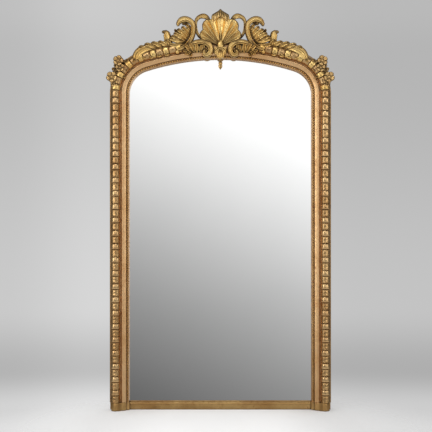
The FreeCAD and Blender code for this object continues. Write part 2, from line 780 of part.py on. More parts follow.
def build():
    """Every piece, by name."""
    pieces = {}

    def pair(name, shape):
        pieces["right_" + name] = shape
        pieces["left_" + name] = mirrored(shape)

    hanger_screws = [screw(STILE_X, z) for z in screw_heights(HANGER_Z, HANGER_PLATE_L)]
    plate_ends = screw_heights(HEAD_TOP_Z, PLATE_REACH) + screw_heights(HEAD_TOP_Z, -PLATE_REACH)
    plate_screws = [screw(0, z) for z in plate_ends]
    nails = [nail(z + side * NAIL_SPREAD) for z in block_heights() for side in (-1, 1)]

    pair("stile", stile().cut(hanger_screws))
    pair("head_shoulder", shoulder())
    head = crown()
    pieces["head_crown"] = head.cut(plate_screws)
    pieces["bottom_rail"] = bottom_rail()
    pieces["rail_strip"] = rail_strip()
    pair("plinth_block", plinth_block())
    pair("stile_torus", stile_torus())
    pair("stile_beads", stile_beads())
    arch_torus = head_torus()
    pair("head_torus", arch_torus)
    arch_beads = head_beads()
    pair("head_beads", arch_beads)

    pieces["mirror_plate"] = mirror_plate()
    blocks = [glazing_block(z) for z in block_heights()]
    blocks = [block.cut(nails) for block in blocks]
    pieces["glazing_blocks"] = Part.makeCompound(blocks + [mirrored(block) for block in blocks])
    all_nails = nails + [mirrored(one) for one in nails]
    for i, (low, high) in enumerate(board_limits()):
        pieces["back_board_%d" % (i + 1)] = back_board(low, high).cut(all_nails)
    pieces["back_board_nails"] = Part.makeCompound(all_nails)

    scallop = shell()
    skirt = apron().cut([scallop, head, arch_beads, mirrored(arch_beads)])
    pieces["shell"] = scallop
    pieces["shell_apron"] = skirt
    pieces["pendant_drop"] = pendant_drop().cut([skirt, head])
    small = scroll(VOLUTE_START, VOLUTE_HEADING, VOLUTE_ARCS, VOLUTE_WIDTHS, VOLUTE_T)
    small = small.cut([scallop, skirt, head, arch_beads, arch_torus])
    pair("volute", small)
    big = scroll(SCROLL_START, SCROLL_HEADING, SCROLL_ARCS, SCROLL_WIDTHS, SCROLL_T)
    big = big.cut([small, head, arch_torus])
    pair("c_scroll", big)
    loop = scroll(LOOP_START, LOOP_HEADING, LOOP_ARCS, LOOP_WIDTHS, LOOP_T)
    pair("loop", largest(loop.cut([scallop, small, big])))
    leaf_fan = largest(palmette().cut([big, small, head]))
    pair("scroll_palmette", leaf_fan)
    pair("acanthus_leaf", acanthus().cut([big, leaf_fan, arch_torus, head]))
    flowers = [flower(*sizes) for sizes in FLOWERS]
    for i, one in enumerate(flowers):
        flowers[i] = one.cut([arch_torus] + flowers[:i])
    pair("shoulder_flowers", Part.makeCompound(flowers))
    pair("shoulder_spray", spray().cut(flowers + [arch_torus, shoulder()]))

    pieces["crest_board"] = crest_board()
    pieces["crest_block"] = crest_block().cut(plate_screws)
    pieces["crest_plate"] = crest_plate().cut(plate_screws)
    pieces["crest_plate_screws"] = Part.makeCompound(plate_screws)
    pair("hanger_plate", hanger_plate().cut(hanger_screws))
    pair("hanging_ring", hanging_ring())
    pieces["hanger_screws"] = Part.makeCompound(hanger_screws + [mirrored(one) for one in hanger_screws])
    return pieces


os.makedirs("parts", exist_ok=True)
for name, shape in build().items():
    shape.exportStep(os.path.join("parts", name + ".step"))
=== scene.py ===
from math import acos, atan2, ceil, copysign, cos, degrees, exp, pi, radians, sin, sqrt, tan

import bmesh
import bpy
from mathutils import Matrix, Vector, noise

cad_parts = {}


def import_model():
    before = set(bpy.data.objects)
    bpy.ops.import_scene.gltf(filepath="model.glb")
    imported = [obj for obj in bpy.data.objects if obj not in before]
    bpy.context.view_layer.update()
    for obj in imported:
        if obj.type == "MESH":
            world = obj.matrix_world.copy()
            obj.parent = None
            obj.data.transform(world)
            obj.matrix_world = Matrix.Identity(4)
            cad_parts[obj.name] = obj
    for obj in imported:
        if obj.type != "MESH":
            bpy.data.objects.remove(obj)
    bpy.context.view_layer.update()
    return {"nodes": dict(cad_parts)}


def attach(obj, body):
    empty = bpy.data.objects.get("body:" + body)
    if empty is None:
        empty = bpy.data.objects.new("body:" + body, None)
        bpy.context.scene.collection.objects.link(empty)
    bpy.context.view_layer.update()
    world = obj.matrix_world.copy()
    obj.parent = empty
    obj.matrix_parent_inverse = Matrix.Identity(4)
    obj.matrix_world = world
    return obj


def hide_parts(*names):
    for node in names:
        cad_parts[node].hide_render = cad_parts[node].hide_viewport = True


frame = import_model()

# Sizes are in millimetres, heights z above the floor, t forwards of the back and
# u outwards from the sight edge. Pieces are built on the right and mirrored.
MM = 0.001

SIGHT_HALF_W, SPRING_Z, ARCH_RISE, CROWN_R = 457.0, 1582.0, 175.0, 1225.0
BEAD_BED_W, BAND_W, HOLLOW_W, TORUS_W, FILLET_W = 13.5, 21.0, 8.5, 42.0, 10.0
BED_T, BAND_OUTER_T, BAND_INNER_T, BEAD_BED_T, TORUS_RISE = 55.0, 66.0, 58.0, 52.0, 33.0
REBATE_W, GLASS_FRONT_T = 14.0, 20.0
RAIL_H, RAIL_T, RAIL_SIGHT_H, RAIL_SIGHT_STEP, RAIL_STRIP_H, RAIL_STRIP_RISE = 44.0, 30.0, 7.0, 5.0, 11.0, 4.0
PLINTH_H, PLINTH_T, PLINTH_RETURN, PLINTH_STEP = 40.0, 91.0, 3.0, 3.0
TORUS_PITCH, BARREL_L, TORUS_STOP_X = 66.1, 27.0, 192.0
FIRST_CASK, TORUS_STEP, TORUS_SHIFT = 37.5, 1.9, 2.0
PEARL_R, PEARL_PITCH = 5.3, 12.4
SHELL_T, SHELL_HUB_T, SHELL_SPREAD, SHELL_LEAN = 112.0, 88.0, 73.0, 17.0
HUB_DROP, CREST_BOARD_RISE = 36.0, 96.0
EYE_R, EYE_HALF_W, RING_WIRE, RING_R = 7.0, 12.0, 5.0, 22.0
PLATE_THICK, HANGER_Z, HANGER_PLATE_L = 2.5, 1480.0, 80.0

BAND_U = BEAD_BED_W
HOLLOW_U = BAND_U + BAND_W
TORUS_U = HOLLOW_U + HOLLOW_W
FILLET_U = TORUS_U + TORUS_W
OUTER_U = FILLET_U + FILLET_W
TORUS_MID_U = TORUS_U + TORUS_W / 2
BACK_Y = (SHELL_T - 2 * EYE_R) / 2
SHOULDER_R = (CROWN_R**2 - SIGHT_HALF_W**2 - (CROWN_R - ARCH_RISE)**2) / (2 * (CROWN_R - SIGHT_HALF_W))
SHOULDER_X = SIGHT_HALF_W - SHOULDER_R
CROWN_Z = SPRING_Z + ARCH_RISE - CROWN_R
SHOULDER_TURN = atan2(SPRING_Z - CROWN_Z, SHOULDER_X)
HUB_Z = CROWN_Z + CROWN_R + OUTER_U - HUB_DROP
STILE_X = SIGHT_HALF_W + (REBATE_W + OUTER_U) / 2


# Geometry

DOUBLED_WITHIN = 0.02
UNEVEN_PER_MM, UNEVEN_SEED = 0.03, 7
NEARLY_STRAIGHT = radians(88)
noise.seed_set(UNEVEN_SEED)


def at(x, t, z):
    """Point x across, t forwards of the back and z up."""
    return Vector((x, BACK_Y - t, z))


def arch_place(run, u):
    """Point and outward angle after a run along the right of the arch, at offset u."""
    shoulder_run = (SHOULDER_R + u) * SHOULDER_TURN
    if run <= shoulder_run:
        angle = run / (SHOULDER_R + u)
        x, z, radius = SHOULDER_X, SPRING_Z, SHOULDER_R + u
    else:
        angle = SHOULDER_TURN + (run - shoulder_run) / (CROWN_R + u)
        x, z, radius = 0.0, CROWN_Z, CROWN_R + u
    return x + radius * cos(angle), z + radius * sin(angle), angle


def arch_run_to(x, u):
    """Run along the arch, at offset u, that ends at x on the crown."""
    angle = acos(x / (CROWN_R + u))
    return (SHOULDER_R + u) * SHOULDER_TURN + (CROWN_R + u) * (angle - SHOULDER_TURN)


def crown_z(x, u):
    """Height of the crown's curve, offset by u, at x."""
    return CROWN_Z + sqrt((CROWN_R + u)**2 - x**2)


def smooth(x, low=0.0, high=1.0):
    """0 below low, 1 above high, and an even curve between."""
    x = min(max((x - low) / (high - low), 0.0), 1.0)
    return x * x * (3 - 2 * x)


def between(values, share):
    """Value part of the way along evenly spaced values, eased."""
    place = share * (len(values) - 1)
    i = min(int(place), len(values) - 2)
    return values[i] + (values[i + 1] - values[i]) * smooth(place - i)


def turns(count):
    """Angles spaced evenly round a circle."""
    return [2 * pi * i / count for i in range(count)]


class Shape:
    """Points and faces of a piece, with a material number for each face."""

    def __init__(self):
        self.points, self.faces, self.marks = [], [], []

    def loft(self, rows, closed=True, caps=True, mark=0):
        """Skin over rows of points; closed joins each row's ends."""
        base, width = len(self.points), len(rows[0])
        for row in rows:
            self.points += row
        spans = width if closed else width - 1
        for r in range(len(rows) - 1):
            for i in range(spans):
                j = (i + 1) % width
                a, b = base + r * width, base + (r + 1) * width
                self.faces.append((a + i, a + j, b + j, b + i))
                self.marks.append(mark(r, i) if callable(mark) else mark)
        if caps and closed:
            last = base + (len(rows) - 1) * width
            self.faces += [tuple(range(base, base + width))[::-1], tuple(range(last, last + width))]
            self.marks += [0 if callable(mark) else mark] * 2
        return self

    def ball(self, centre, radius, rings=6, sides=12):
        """Pearl, or the rounded end of a wire."""
        rows = []
        for i in range(1, rings):
            turn = pi * i / rings
            rows.append([centre + Vector((radius * sin(turn) * cos(a), -radius * cos(turn),
                                          radius * sin(turn) * sin(a))) for a in turns(sides)])
        return self.loft(rows)

    def add(self, other):
        """Take up another shape's points and faces."""
        base = len(self.points)
        self.points += other.points
        self.faces += [tuple(base + i for i in face) for face in other.faces]
        self.marks += other.marks
        return self

    def mirrored(self):
        """The same shape on the left."""
        left = Shape()
        left.points = [Vector((-p.x, p.y, p.z)) for p in self.points]
        left.faces = [face[::-1] for face in self.faces]
        left.marks = list(self.marks)
        return left

    def make(self, name, materials, nodes=(), body="frame", slot=None, sharp=38.0, wobble=0.0):
        """Blender object for the shape, riding on its body and standing for its nodes."""
        points = self.points
        if wobble:
            points = [p + wobble * noise.noise_vector(p * UNEVEN_PER_MM) for p in points]
        mesh = bpy.data.meshes.new(name)
        mesh.from_pydata([p * MM for p in points], [], self.faces)
        mesh.polygons.foreach_set("material_index", self.marks)
        mesh.polygons.foreach_set("use_smooth", [True] * len(self.faces))
        for material in materials:
            mesh.materials.append(material)
        mesh.validate()
        mesh.update()
        join_up(mesh)
        mesh.set_sharp_from_angle(angle=radians(sharp))
        obj = bpy.data.objects.new(name, mesh)
        bpy.context.scene.collection.objects.link(obj)
        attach(obj, body)
        if nodes:
            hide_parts(*nodes)
        return obj


def join_up(mesh):
    """Join doubled points and turn the faces outwards."""
    work = bmesh.new()
    work.from_mesh(mesh)
    bmesh.ops.remove_doubles(work, verts=work.verts, dist=DOUBLED_WITHIN * MM)
    bmesh.ops.recalc_face_normals(work, faces=work.faces)
    work.to_mesh(mesh)
    work.free()


def pair(name, shape, materials, **options):
    """The shape on both sides, each standing for its side's node of that name."""
    for side, form in (("right", shape), ("left", shape.mirrored())):
        form.make(f"{side}_{name}_dressed", materials, [f"{side}_{name}"], **options)


def rounded(corners, steps=4):
    """Closed outline through (x, y, radius) corners, with each corner rounded."""
    points = []
    for i, (x, y, radius) in enumerate(corners):
        here = Vector((x, y))
        before, after = Vector(corners[i - 1][:2]), Vector(corners[(i + 1) % len(corners)][:2])
        to_before, to_after = (before - here).normalized(), (after - here).normalized()
        half = to_before.angle(to_after) / 2
        if radius <= 0 or half > NEARLY_STRAIGHT:
            points.append((x, y))
            continue
        room = 0.49 * min((before - here).length, (after - here).length)
        reach = min(radius / tan(half), room)
        radius = reach * tan(half)
        middle = here + (to_before + to_after).normalized() * radius / sin(half)
        start, end = here + to_before * reach - middle, here + to_after * reach - middle
        for k in range(steps + 1):
            share = k / steps
            spoke = (start * (1 - share) + end * share).normalized() * radius
            points.append(tuple(middle + spoke))
    return points


# Materials

def nodes_of(name):
    """New material, its node tree and its surface shader."""
    material = bpy.data.materials.new(name)
    material.use_nodes = True
    tree = material.node_tree
    return material, tree, tree.nodes["Principled BSDF"]


def node(tree, kind, links=None, **values):
    """Shader node with its properties and inputs set, and inputs linked from sockets."""
    made = tree.nodes.new(kind)
    for key, value in values.items():
        if key in made.inputs:
            made.inputs[key].default_value = value
        else:
            setattr(made, key, value)
    for key, socket in (links or {}).items():
        tree.links.new(socket, made.inputs[key])
    return made


def blend_colour(share, a, b):
    """Colour between a and b, each a socket or a colour."""
    tree = share.id_data
    mixer = tree.nodes.new("ShaderNodeMix")
    mixer.data_type = "RGBA"
    tree.links.new(share, mixer.inputs[0])
    for i, value in ((6, a), (7, b)):
        if isinstance(value, tuple):
            mixer.inputs[i].default_value = (*value, 1.0)
        else:
            tree.links.new(value, mixer.inputs[i])
    return mixer.outputs[2]


def span(value, low, high, out_low=0.0, out_high=1.0, curve="SMOOTHSTEP"):
    """Value mapped from one range to another, clamped, with an even curve."""
    ranged = node(value.id_data, "ShaderNodeMapRange", {"Value": value}, interpolation_type=curve)
    for key, number in (("From Min", low), ("From Max", high), ("To Min", out_low), ("To Max", out_high)):
        ranged.inputs[key].default_value = number
    return ranged.outputs[0]


def span_line(value, low, high, out_low=0.0, out_high=1.0):
    """Value mapped from one range to another on a straight line, clamped."""
    return span(value, low, high, out_low, out_high, "LINEAR")


def maths(operation, a, b, clamp=False):
    """Sum, product or other combination of a socket and another socket or number."""
    tree = (b if isinstance(a, float) else a).id_data
    made = tree.nodes.new("ShaderNodeMath")
    made.operation = operation
    made.use_clamp = clamp
    for i, value in enumerate((a, b)):
        if isinstance(value, (int, float)):
            made.inputs[i].default_value = value
        else:
            tree.links.new(value, made.inputs[i])
    return made.outputs[0]


def plus(a, b, clamp=False):
    """Sum of a socket and another socket or number."""
    return maths("ADD", a, b, clamp)


def times(a, b, clamp=False):
    """Product of a socket and another socket or number."""
    return maths("MULTIPLY", a, b, clamp)


def grain(tree, scale, detail=3.0, stretch=(1, 1, 1), roughness=0.6, distortion=0.0):
    """Noise over the object, in metres, stretched along an axis."""
    place = node(tree, "ShaderNodeTexCoord").outputs["Object"]
    mapped = node(tree, "ShaderNodeMapping", {"Vector": place})
    mapped.inputs["Scale"].default_value = stretch
    made = node(tree, "ShaderNodeTexNoise", {"Vector": mapped.outputs[0]}, Scale=scale, Detail=detail,
                Roughness=roughness, Distortion=distortion)
    return made.outputs[0]


def relief(shader, height, strength, depth):
    """Fine relief of the surface, its depth in metres."""
    bump = node(shader.id_data, "ShaderNodeBump", {"Height": height}, Strength=strength, Distance=depth)
    shader.id_data.links.new(bump.outputs[0], shader.inputs["Normal"])


def rubbed(pointed, mottle, fine, rub):
    """Where the leaf is worn through to the bole: on edges and in patches."""
    edge = span(pointed, 0.515, 0.60)
    patches = plus(times(edge, 0.45), span(mottle, 0.42, 0.80))
    return span(plus(patches, times(fine, 0.35)), 1.25 - rub, 1.75 - rub)


def soiling_and_painted_shade(geometry, mottle, fine, recess, top_shade):
    """Soiling and painted shade in recesses narrower than recess and in hollows; painted shade on what faces
    up.
    """
    tree = mottle.id_data
    # Soiling and painted shade: recesses and hollows are darkened.
    open_air = node(tree, "ShaderNodeAmbientOcclusion", samples=8, Distance=recess).outputs["AO"]
    shut = span(maths("SUBTRACT", 1.0, open_air), 0.06, 0.52)
    shut = plus(shut, times(span(geometry["Pointiness"], 0.49, 0.42), 0.5), True)
    # Painted shade: surfaces that face up are darkened.
    facing = node(tree, "ShaderNodeSeparateXYZ", {"Vector": geometry["Normal"]}).outputs["Z"]
    painted_top_shade = times(span(facing, 0.25, 0.75), top_shade)
    soiling_and_shade = times(shut, span(mottle, 0.2, 0.7, 0.75, 1.0), True)
    return plus(soiling_and_shade, times(painted_top_shade, span(fine, 0.3, 0.7, 0.8, 1.0)), True)


def crackled(mottle, fine):
    """Height of gilded gesso: soft lumps, fine grain and cracks."""
    tree = mottle.id_data
    place = node(tree, "ShaderNodeTexCoord").outputs["Object"]
    cells = node(tree, "ShaderNodeTexVoronoi", {"Vector": place}, feature="DISTANCE_TO_EDGE", Scale=38.0)
    cracks = span(cells.outputs["Distance"], 0.0, 0.03)
    height = plus(times(mottle, 0.6), times(fine, 0.25))
    return plus(height, times(cracks, 0.125))


def gilt(name, leaf, deep, bole, soiling_and_shade_colour, rub=0.5, gloss=0.3, recess=0.010, top_shade=0.25):
    """Gold leaf on red bole and gesso: rubbed edges, soiling and painted shade in recesses, and painted shade
    on what faces up.
    """
    material, tree, shader = nodes_of(name)
    broad = grain(tree, 7.0, 4.0)
    mottle = grain(tree, 70.0, 5.0)
    fine = grain(tree, 420.0, 4.0)
    geometry = node(tree, "ShaderNodeNewGeometry").outputs
    colour = blend_colour(span(broad, 0.35, 0.68), leaf, deep)
    colour = blend_colour(span(mottle, 0.50, 0.72, 0.0, 0.55), colour, deep)
    worn = rubbed(geometry["Pointiness"], mottle, fine, rub)
    colour = blend_colour(worn, colour, bole)
    soiling_and_shade = soiling_and_painted_shade(geometry, mottle, fine, recess, top_shade)
    # Soiling and painted shade darken the colour.
    colour = blend_colour(soiling_and_shade, colour, soiling_and_shade_colour)
    tree.links.new(colour, shader.inputs["Base Color"])
    dull = maths("MAXIMUM", times(worn, 0.55), times(soiling_and_shade, 0.75))
    tree.links.new(maths("SUBTRACT", 1.0, dull), shader.inputs["Metallic"])
    rough = plus(span(mottle, 0.3, 0.7, gloss - 0.06, gloss + 0.12), times(dull, 0.35))
    tree.links.new(rough, shader.inputs["Roughness"])
    relief(shader, crackled(mottle, fine), 0.35, 0.0012)
    return material


def pine(name, light, dark, along):
    """Old bare pine with grain along one axis and dusty stains."""
    material, tree, shader = nodes_of(name)
    stretch = (0.06, 1, 1) if along == "x" else (1, 1, 0.06)
    rings = grain(tree, 42.0, 4.0, stretch, 0.6, 1.2)
    fibre = grain(tree, 260.0, 5.0, stretch)
    stain = grain(tree, 3.0, 3.0)
    colour = blend_colour(span(rings, 0.40, 0.62), light, dark)
    colour = blend_colour(span(fibre, 0.45, 0.8, 0.0, 0.5), colour, tuple(c * 0.55 for c in dark))
    colour = blend_colour(span(stain, 0.5, 0.75, 0.0, 0.6), colour, tuple(c * 0.6 for c in light))
    tree.links.new(colour, shader.inputs["Base Color"])
    tree.links.new(span(fibre, 0.3, 0.7, 0.68, 0.88), shader.inputs["Roughness"])
    height = plus(rings, times(fibre, 0.6))
    relief(shader, height, 0.5, 0.0008)
    return material


def forged_iron():
    """Dark forged iron with scale and rust bloom."""
    material, tree, shader = nodes_of("forged_iron")
    scale = grain(tree, 180.0, 5.0)
    rust = grain(tree, 45.0, 4.0)
    colour = blend_colour(span(scale, 0.35, 0.7), (0.045, 0.042, 0.04), (0.12, 0.11, 0.105))
    rusted = span(rust, 0.52, 0.72)
    colour = blend_colour(rusted, colour, (0.16, 0.065, 0.03))
    tree.links.new(colour, shader.inputs["Base Color"])
    tree.links.new(span(rusted, 0.0, 1.0, 0.85, 0.15), shader.inputs["Metallic"])
    tree.links.new(span(scale, 0.3, 0.7, 0.42, 0.72), shader.inputs["Roughness"])
    relief(shader, scale, 0.5, 0.0006)
    return material


def silvered_glass():
    """Silvered plate: clear, with a trace of dust and faint cloudy tarnish."""
    material, tree, shader = nodes_of("silvered_glass")
    cloud = grain(tree, 2.2, 4.0)
    dust = grain(tree, 900.0, 2.0)
    colour = blend_colour(span(cloud, 0.3, 0.75), (0.965, 0.968, 0.965), (0.945, 0.95, 0.948))
    tree.links.new(colour, shader.inputs["Base Color"])
    shader.inputs["Metallic"].default_value = 1.0
    tree.links.new(span(dust, 0.55, 0.8, 0.012, 0.045), shader.inputs["Roughness"])
    return material


# Leaf, deeper leaf, bole, and the dark of soiling and painted shade of each gilding
GOLD_BAND = gilt("gilt_band", (0.92, 0.60, 0.31), (0.80, 0.47, 0.21),
                 (0.46, 0.14, 0.05), (0.20, 0.09, 0.03), rub=0.54, gloss=0.34, recess=0.006)
GOLD_TORUS = gilt("gilt_torus", (0.68, 0.44, 0.20), (0.52, 0.30, 0.12),
                  (0.40, 0.14, 0.05), (0.11, 0.050, 0.012), rub=0.50, gloss=0.27, recess=0.007)
GOLD_CASK = gilt("gilt_casks", (0.84, 0.57, 0.28), (0.68, 0.41, 0.18),
                 (0.45, 0.14, 0.05), (0.16, 0.07, 0.02), rub=0.42, gloss=0.26, recess=0.006)
GOLD_PEARL = gilt("gilt_pearls", (0.72, 0.42, 0.14), (0.52, 0.27, 0.07),
                  (0.30, 0.10, 0.03), (0.07, 0.03, 0.006), rub=0.50, gloss=0.26, recess=0.010)
GOLD_CREST = gilt("gilt_crest", (0.97, 0.68, 0.26), (0.80, 0.49, 0.15),
                  (0.44, 0.16, 0.05), (0.085, 0.038, 0.008), rub=0.46, gloss=0.27, recess=0.017, top_shade=0.80)
# A darker copy of the frame gilding, as painted shade outside the hollow: the fillet and the outer side
SHADED_EDGE_GOLD = gilt("painted_shade_edge_gilt", (0.47, 0.30, 0.13), (0.34, 0.20, 0.08),
                 (0.30, 0.11, 0.04), (0.12, 0.055, 0.016), rub=0.45, gloss=0.38, recess=0.006)
GOLD_BLOSSOM = gilt("gilt_blossoms", (0.80, 0.55, 0.24), (0.60, 0.36, 0.14),
                    (0.32, 0.12, 0.04), (0.055, 0.026, 0.006), rub=0.45, gloss=0.30, recess=0.022, top_shade=0.9)
# A darker copy of the crest gilding, as painted shade on rolled edges, curled tips, the shell's rim and curl,
# and all of the drop
GOLD_PAINTED_SHADE = gilt("gilt_painted_shade", (0.62, 0.42, 0.17), (0.44, 0.26, 0.09),
                  (0.26, 0.10, 0.035), (0.05, 0.024, 0.006), rub=0.40, gloss=0.32, recess=0.018, top_shade=0.95)
GOLD_RAIL = gilt("gilt_rail", (0.70, 0.45, 0.18), (0.50, 0.28, 0.10),
                 (0.28, 0.10, 0.035), (0.06, 0.028, 0.008), rub=0.45, gloss=0.36)
PINE_BOARD = pine("pine_boards", (0.30, 0.185, 0.095), (0.17, 0.095, 0.045), "x")
PINE_FRAME = pine("pine_frame", (0.26, 0.155, 0.080), (0.15, 0.083, 0.040), "z")
IRON = forged_iron()
MIRROR = silvered_glass()


# Mouldings

BARE_BACK_T = 10.0
# Torus: place and breadth of the ring beside a cask, share of its width on each side of its middle,
# how much of that follows the carving, how square its section is across and in height, and how much
# of the repeat is left dull at each end of a cask
RING_PLACE, RING_BREADTH = 4.4, 1.5
TORUS_HALF, TORUS_FOLLOWS, TORUS_SQUARE, TORUS_FULL = 0.57, 0.45, 0.9, 0.8
CASK_EDGE = 0.03
# Height on the plinth block and its size there as a share
PLINTH_DRAWN = ((0, 0.96), (1.5, 0.985), (4, 1.0), (34, 1.0), (36, 0.995), (38.5, 0.985), (PLINTH_H, 0.965))


def moulding_outline():
    """Section of the frame as (u, t), with the edges that gesso softens."""
    corners = [(0, GLASS_FRONT_T, 0.5), (0, BEAD_BED_T, 1.6), (BAND_U - 1.5, BEAD_BED_T, 1.0),
               (BAND_U + 0.5, BAND_INNER_T, 2.4), (HOLLOW_U - 0.5, BAND_OUTER_T, 3.0),
               (HOLLOW_U + 1.5, BED_T, 5.0), (FILLET_U, BED_T, 0), (OUTER_U, BED_T, 2.2),
               (OUTER_U, BED_T - 16, 0), (OUTER_U, 12, 0), (OUTER_U, 0, 1.5),
               (REBATE_W, 0, 0.6), (REBATE_W, GLASS_FRONT_T, 0.5)]
    return rounded(corners)


def bare_wood(outline):
    """Material for each span of the outline: 1 where the wood is bare, 2 outside the hollow, in a darker
    gilding that paints shade.
    """
    def mark(_, i):
        (u0, t0), (u1, t1) = outline[i], outline[(i + 1) % len(outline)]
        front = max(t0, t1)
        in_rebate = u0 >= REBATE_W - 0.5 and front <= GLASS_FRONT_T and max(u0, u1) < OUTER_U - 2
        if front < BARE_BACK_T or in_rebate:
            return 1
        return 2 if min(u0, u1) > TORUS_U else 0
    return mark


def carcass():
    """Stiles and the three lengths of the head."""
    outline = moulding_outline()
    mark = bare_wood(outline)
    finish = {"materials": [GOLD_BAND, PINE_FRAME, SHADED_EDGE_GOLD], "slot": "gilt_frame", "sharp": 30}
    foot = [(u, min(t, RAIL_T)) for u, t in outline]
    stile = Shape()
    stile.loft([[at(SIGHT_HALF_W + u, t, z) for u, t in foot] for z in (0, PLINTH_H - 0.5)], mark=mark)
    heights = [PLINTH_H + (SPRING_Z - PLINTH_H) * i / 60 for i in range(61)]
    stile.loft([[at(SIGHT_HALF_W + u, t, z) for u, t in outline] for z in heights], mark=mark)
    pair("stile", stile, **finish)

    def arc(x, z, radius, start, end, steps):
        rows = []
        for i in range(steps + 1):
            angle = start + (end - start) * i / steps
            rows.append([at(x + (radius + u) * cos(angle), t, z + (radius + u) * sin(angle))
                         for u, t in outline])
        return Shape().loft(rows, mark=mark)
    pair("head_shoulder", arc(SHOULDER_X, SPRING_Z, SHOULDER_R, 0, SHOULDER_TURN, 40), **finish)
    crown = arc(0, CROWN_Z, CROWN_R, SHOULDER_TURN, pi - SHOULDER_TURN, 70)
    crown.make("head_crown_dressed", nodes=["head_crown"], **finish)


def torus_height(place, across):
    """Share of the torus's rise at a place in its repeat: a cask, then carved leaves between rings."""
    cask = BARREL_L / TORUS_PITCH
    if place < cask:
        swell = abs(place / cask * 2 - 1)
        return 0.86 + 0.14 * sqrt(max(0.0, 1 - swell**2.4)) - 0.10 * smooth(swell, 0.90, 1.0)
    share = (place - cask) / (1 - cask)
    end = min(share, 1 - share) * (1 - cask) * TORUS_PITCH
    ring = exp(-((end - RING_PLACE) / RING_BREADTH)**2) * 0.055
    trough = 1 - smooth(end, 0.8, 2.8)
    middle = smooth(end, 6.0, 9.0)
    reach = abs(across)
    petal = abs(sin(pi * (share * 2.0 + reach * 1.1)))**0.6
    rib = 1 - smooth(reach, 0.03, 0.12)
    reed = 0.5 + 0.5 * cos(across * pi * 7)
    leaf = 0.045 * petal + 0.03 * rib + 0.022 * reed * (1 - petal)
    return 0.845 + ring + leaf * middle - 0.095 * trough


def torus_rows(place_of, length, started):
    """Rows of the carved torus along a length, from where its repeat has started."""
    rows = []
    steps, sides = round(length / TORUS_STEP), 24
    for i in range(steps + 1):
        run = length * i / steps
        x, z, angle = place_of(run)
        place = (run + started) / TORUS_PITCH % 1.0
        row = []
        for j in range(sides + 1):
            turn = pi * j / sides
            scale = torus_height(place, turn / pi * 2 - 1) if 0 < j < sides else 0.97
            squared = copysign(abs(cos(turn))**TORUS_SQUARE, cos(turn))
            followed = 1 - TORUS_FOLLOWS + TORUS_FOLLOWS * scale
            across = TORUS_SHIFT + TORUS_HALF * TORUS_W * followed * squared
            row.append(at(x + across * cos(angle), BED_T + TORUS_RISE * scale * sin(turn)**TORUS_FULL,
                          z + across * sin(angle)))
        rows.append(row)
    return rows


def burnished(length, started):
    """Material number along the torus: 1 on the burnished casks."""
    steps = round(length / TORUS_STEP)

    def mark(row, _):
        place = (length * (row + 0.5) / steps + started) / TORUS_PITCH % 1.0
        return 1 if CASK_EDGE < place < BARREL_L / TORUS_PITCH - CASK_EDGE else 0
    return mark


def pearls(place_of, length):
    """Row of pearls along the sight edge."""
    row = Shape()
    count = round(length / PEARL_PITCH)
    for i in range(count):
        x, z, _ = place_of(length * (i + 0.5) / count)
        row.ball(at(x, BEAD_BED_T + 1.2, z), PEARL_R)
    return row


def mouldings():
    """Carved torus and pearls of the stiles and the arch."""
    length = SPRING_Z - PLINTH_H
    side_x = SIGHT_HALF_W + TORUS_MID_U
    golds = [GOLD_TORUS, GOLD_CASK]
    start = -FIRST_CASK
    stile = Shape().loft(torus_rows(lambda run: (side_x, PLINTH_H + run, 0), length, start),
                         mark=burnished(length, start))
    pair("stile_torus", stile, golds, slot="gilt_ornament", wobble=0.5)
    over, start = arch_run_to(TORUS_STOP_X, TORUS_MID_U), length - FIRST_CASK
    arch = Shape().loft(torus_rows(lambda run: arch_place(run, TORUS_MID_U), over, start),
                        mark=burnished(over, start))
    pair("head_torus", arch, [GOLD_TORUS, GOLD_CREST], slot="gilt_ornament", wobble=0.5)
    bead_u = BEAD_BED_W / 2 - 0.3
    side = pearls(lambda run: (SIGHT_HALF_W + bead_u, PLINTH_H + run, 0), length)
    pair("stile_beads", side, [GOLD_PEARL], slot="gilt_ornament")
    head = pearls(lambda run: arch_place(run, bead_u), arch_run_to(0, bead_u))
    pair("head_beads", head, [GOLD_PEARL], slot="gilt_ornament")


def bottom_rail():
    """Bottom rail with a step at the sight and a rounded strip along its face."""
    z_strip, sight_t = RAIL_H - RAIL_SIGHT_H, RAIL_T - RAIL_SIGHT_STEP
    section = rounded([(0, 0, 1.0), (0, RAIL_H - REBATE_W, 0.5), (GLASS_FRONT_T, RAIL_H - REBATE_W, 0.4),
                       (GLASS_FRONT_T, RAIL_H, 0.8), (sight_t, RAIL_H, 1.5), (sight_t, z_strip, 0.8),
                       (RAIL_T, z_strip, 0.8), (RAIL_T, 0, 1.8)])

    def mark(_, i):
        return 1 if max(section[i][0], section[(i + 1) % len(section)][0]) < GLASS_FRONT_T - 2 else 0
    xs = [-SIGHT_HALF_W + 2 * SIGHT_HALF_W * i / 40 for i in range(41)]
    rail = Shape().loft([[at(x, t, z) for t, z in section] for x in xs], mark=mark)
    rail.make("bottom_rail_dressed", [GOLD_RAIL, PINE_BOARD], ["bottom_rail"], slot="gilt_frame", wobble=0.3)
    strip_mid = z_strip - RAIL_STRIP_H / 2
    rows = []
    for i in range(61):
        x = (SIGHT_HALF_W - PLINTH_RETURN) * (i / 30 - 1)
        rows.append([at(x, RAIL_T + RAIL_STRIP_RISE * sin(pi * j / 8)**0.8,
                        strip_mid + RAIL_STRIP_H / 2 * cos(pi * j / 8)) for j in range(9)])
    Shape().loft(rows).make("rail_strip_dressed", [GOLD_RAIL], ["rail_strip"], slot="gilt_frame", wobble=0.3)


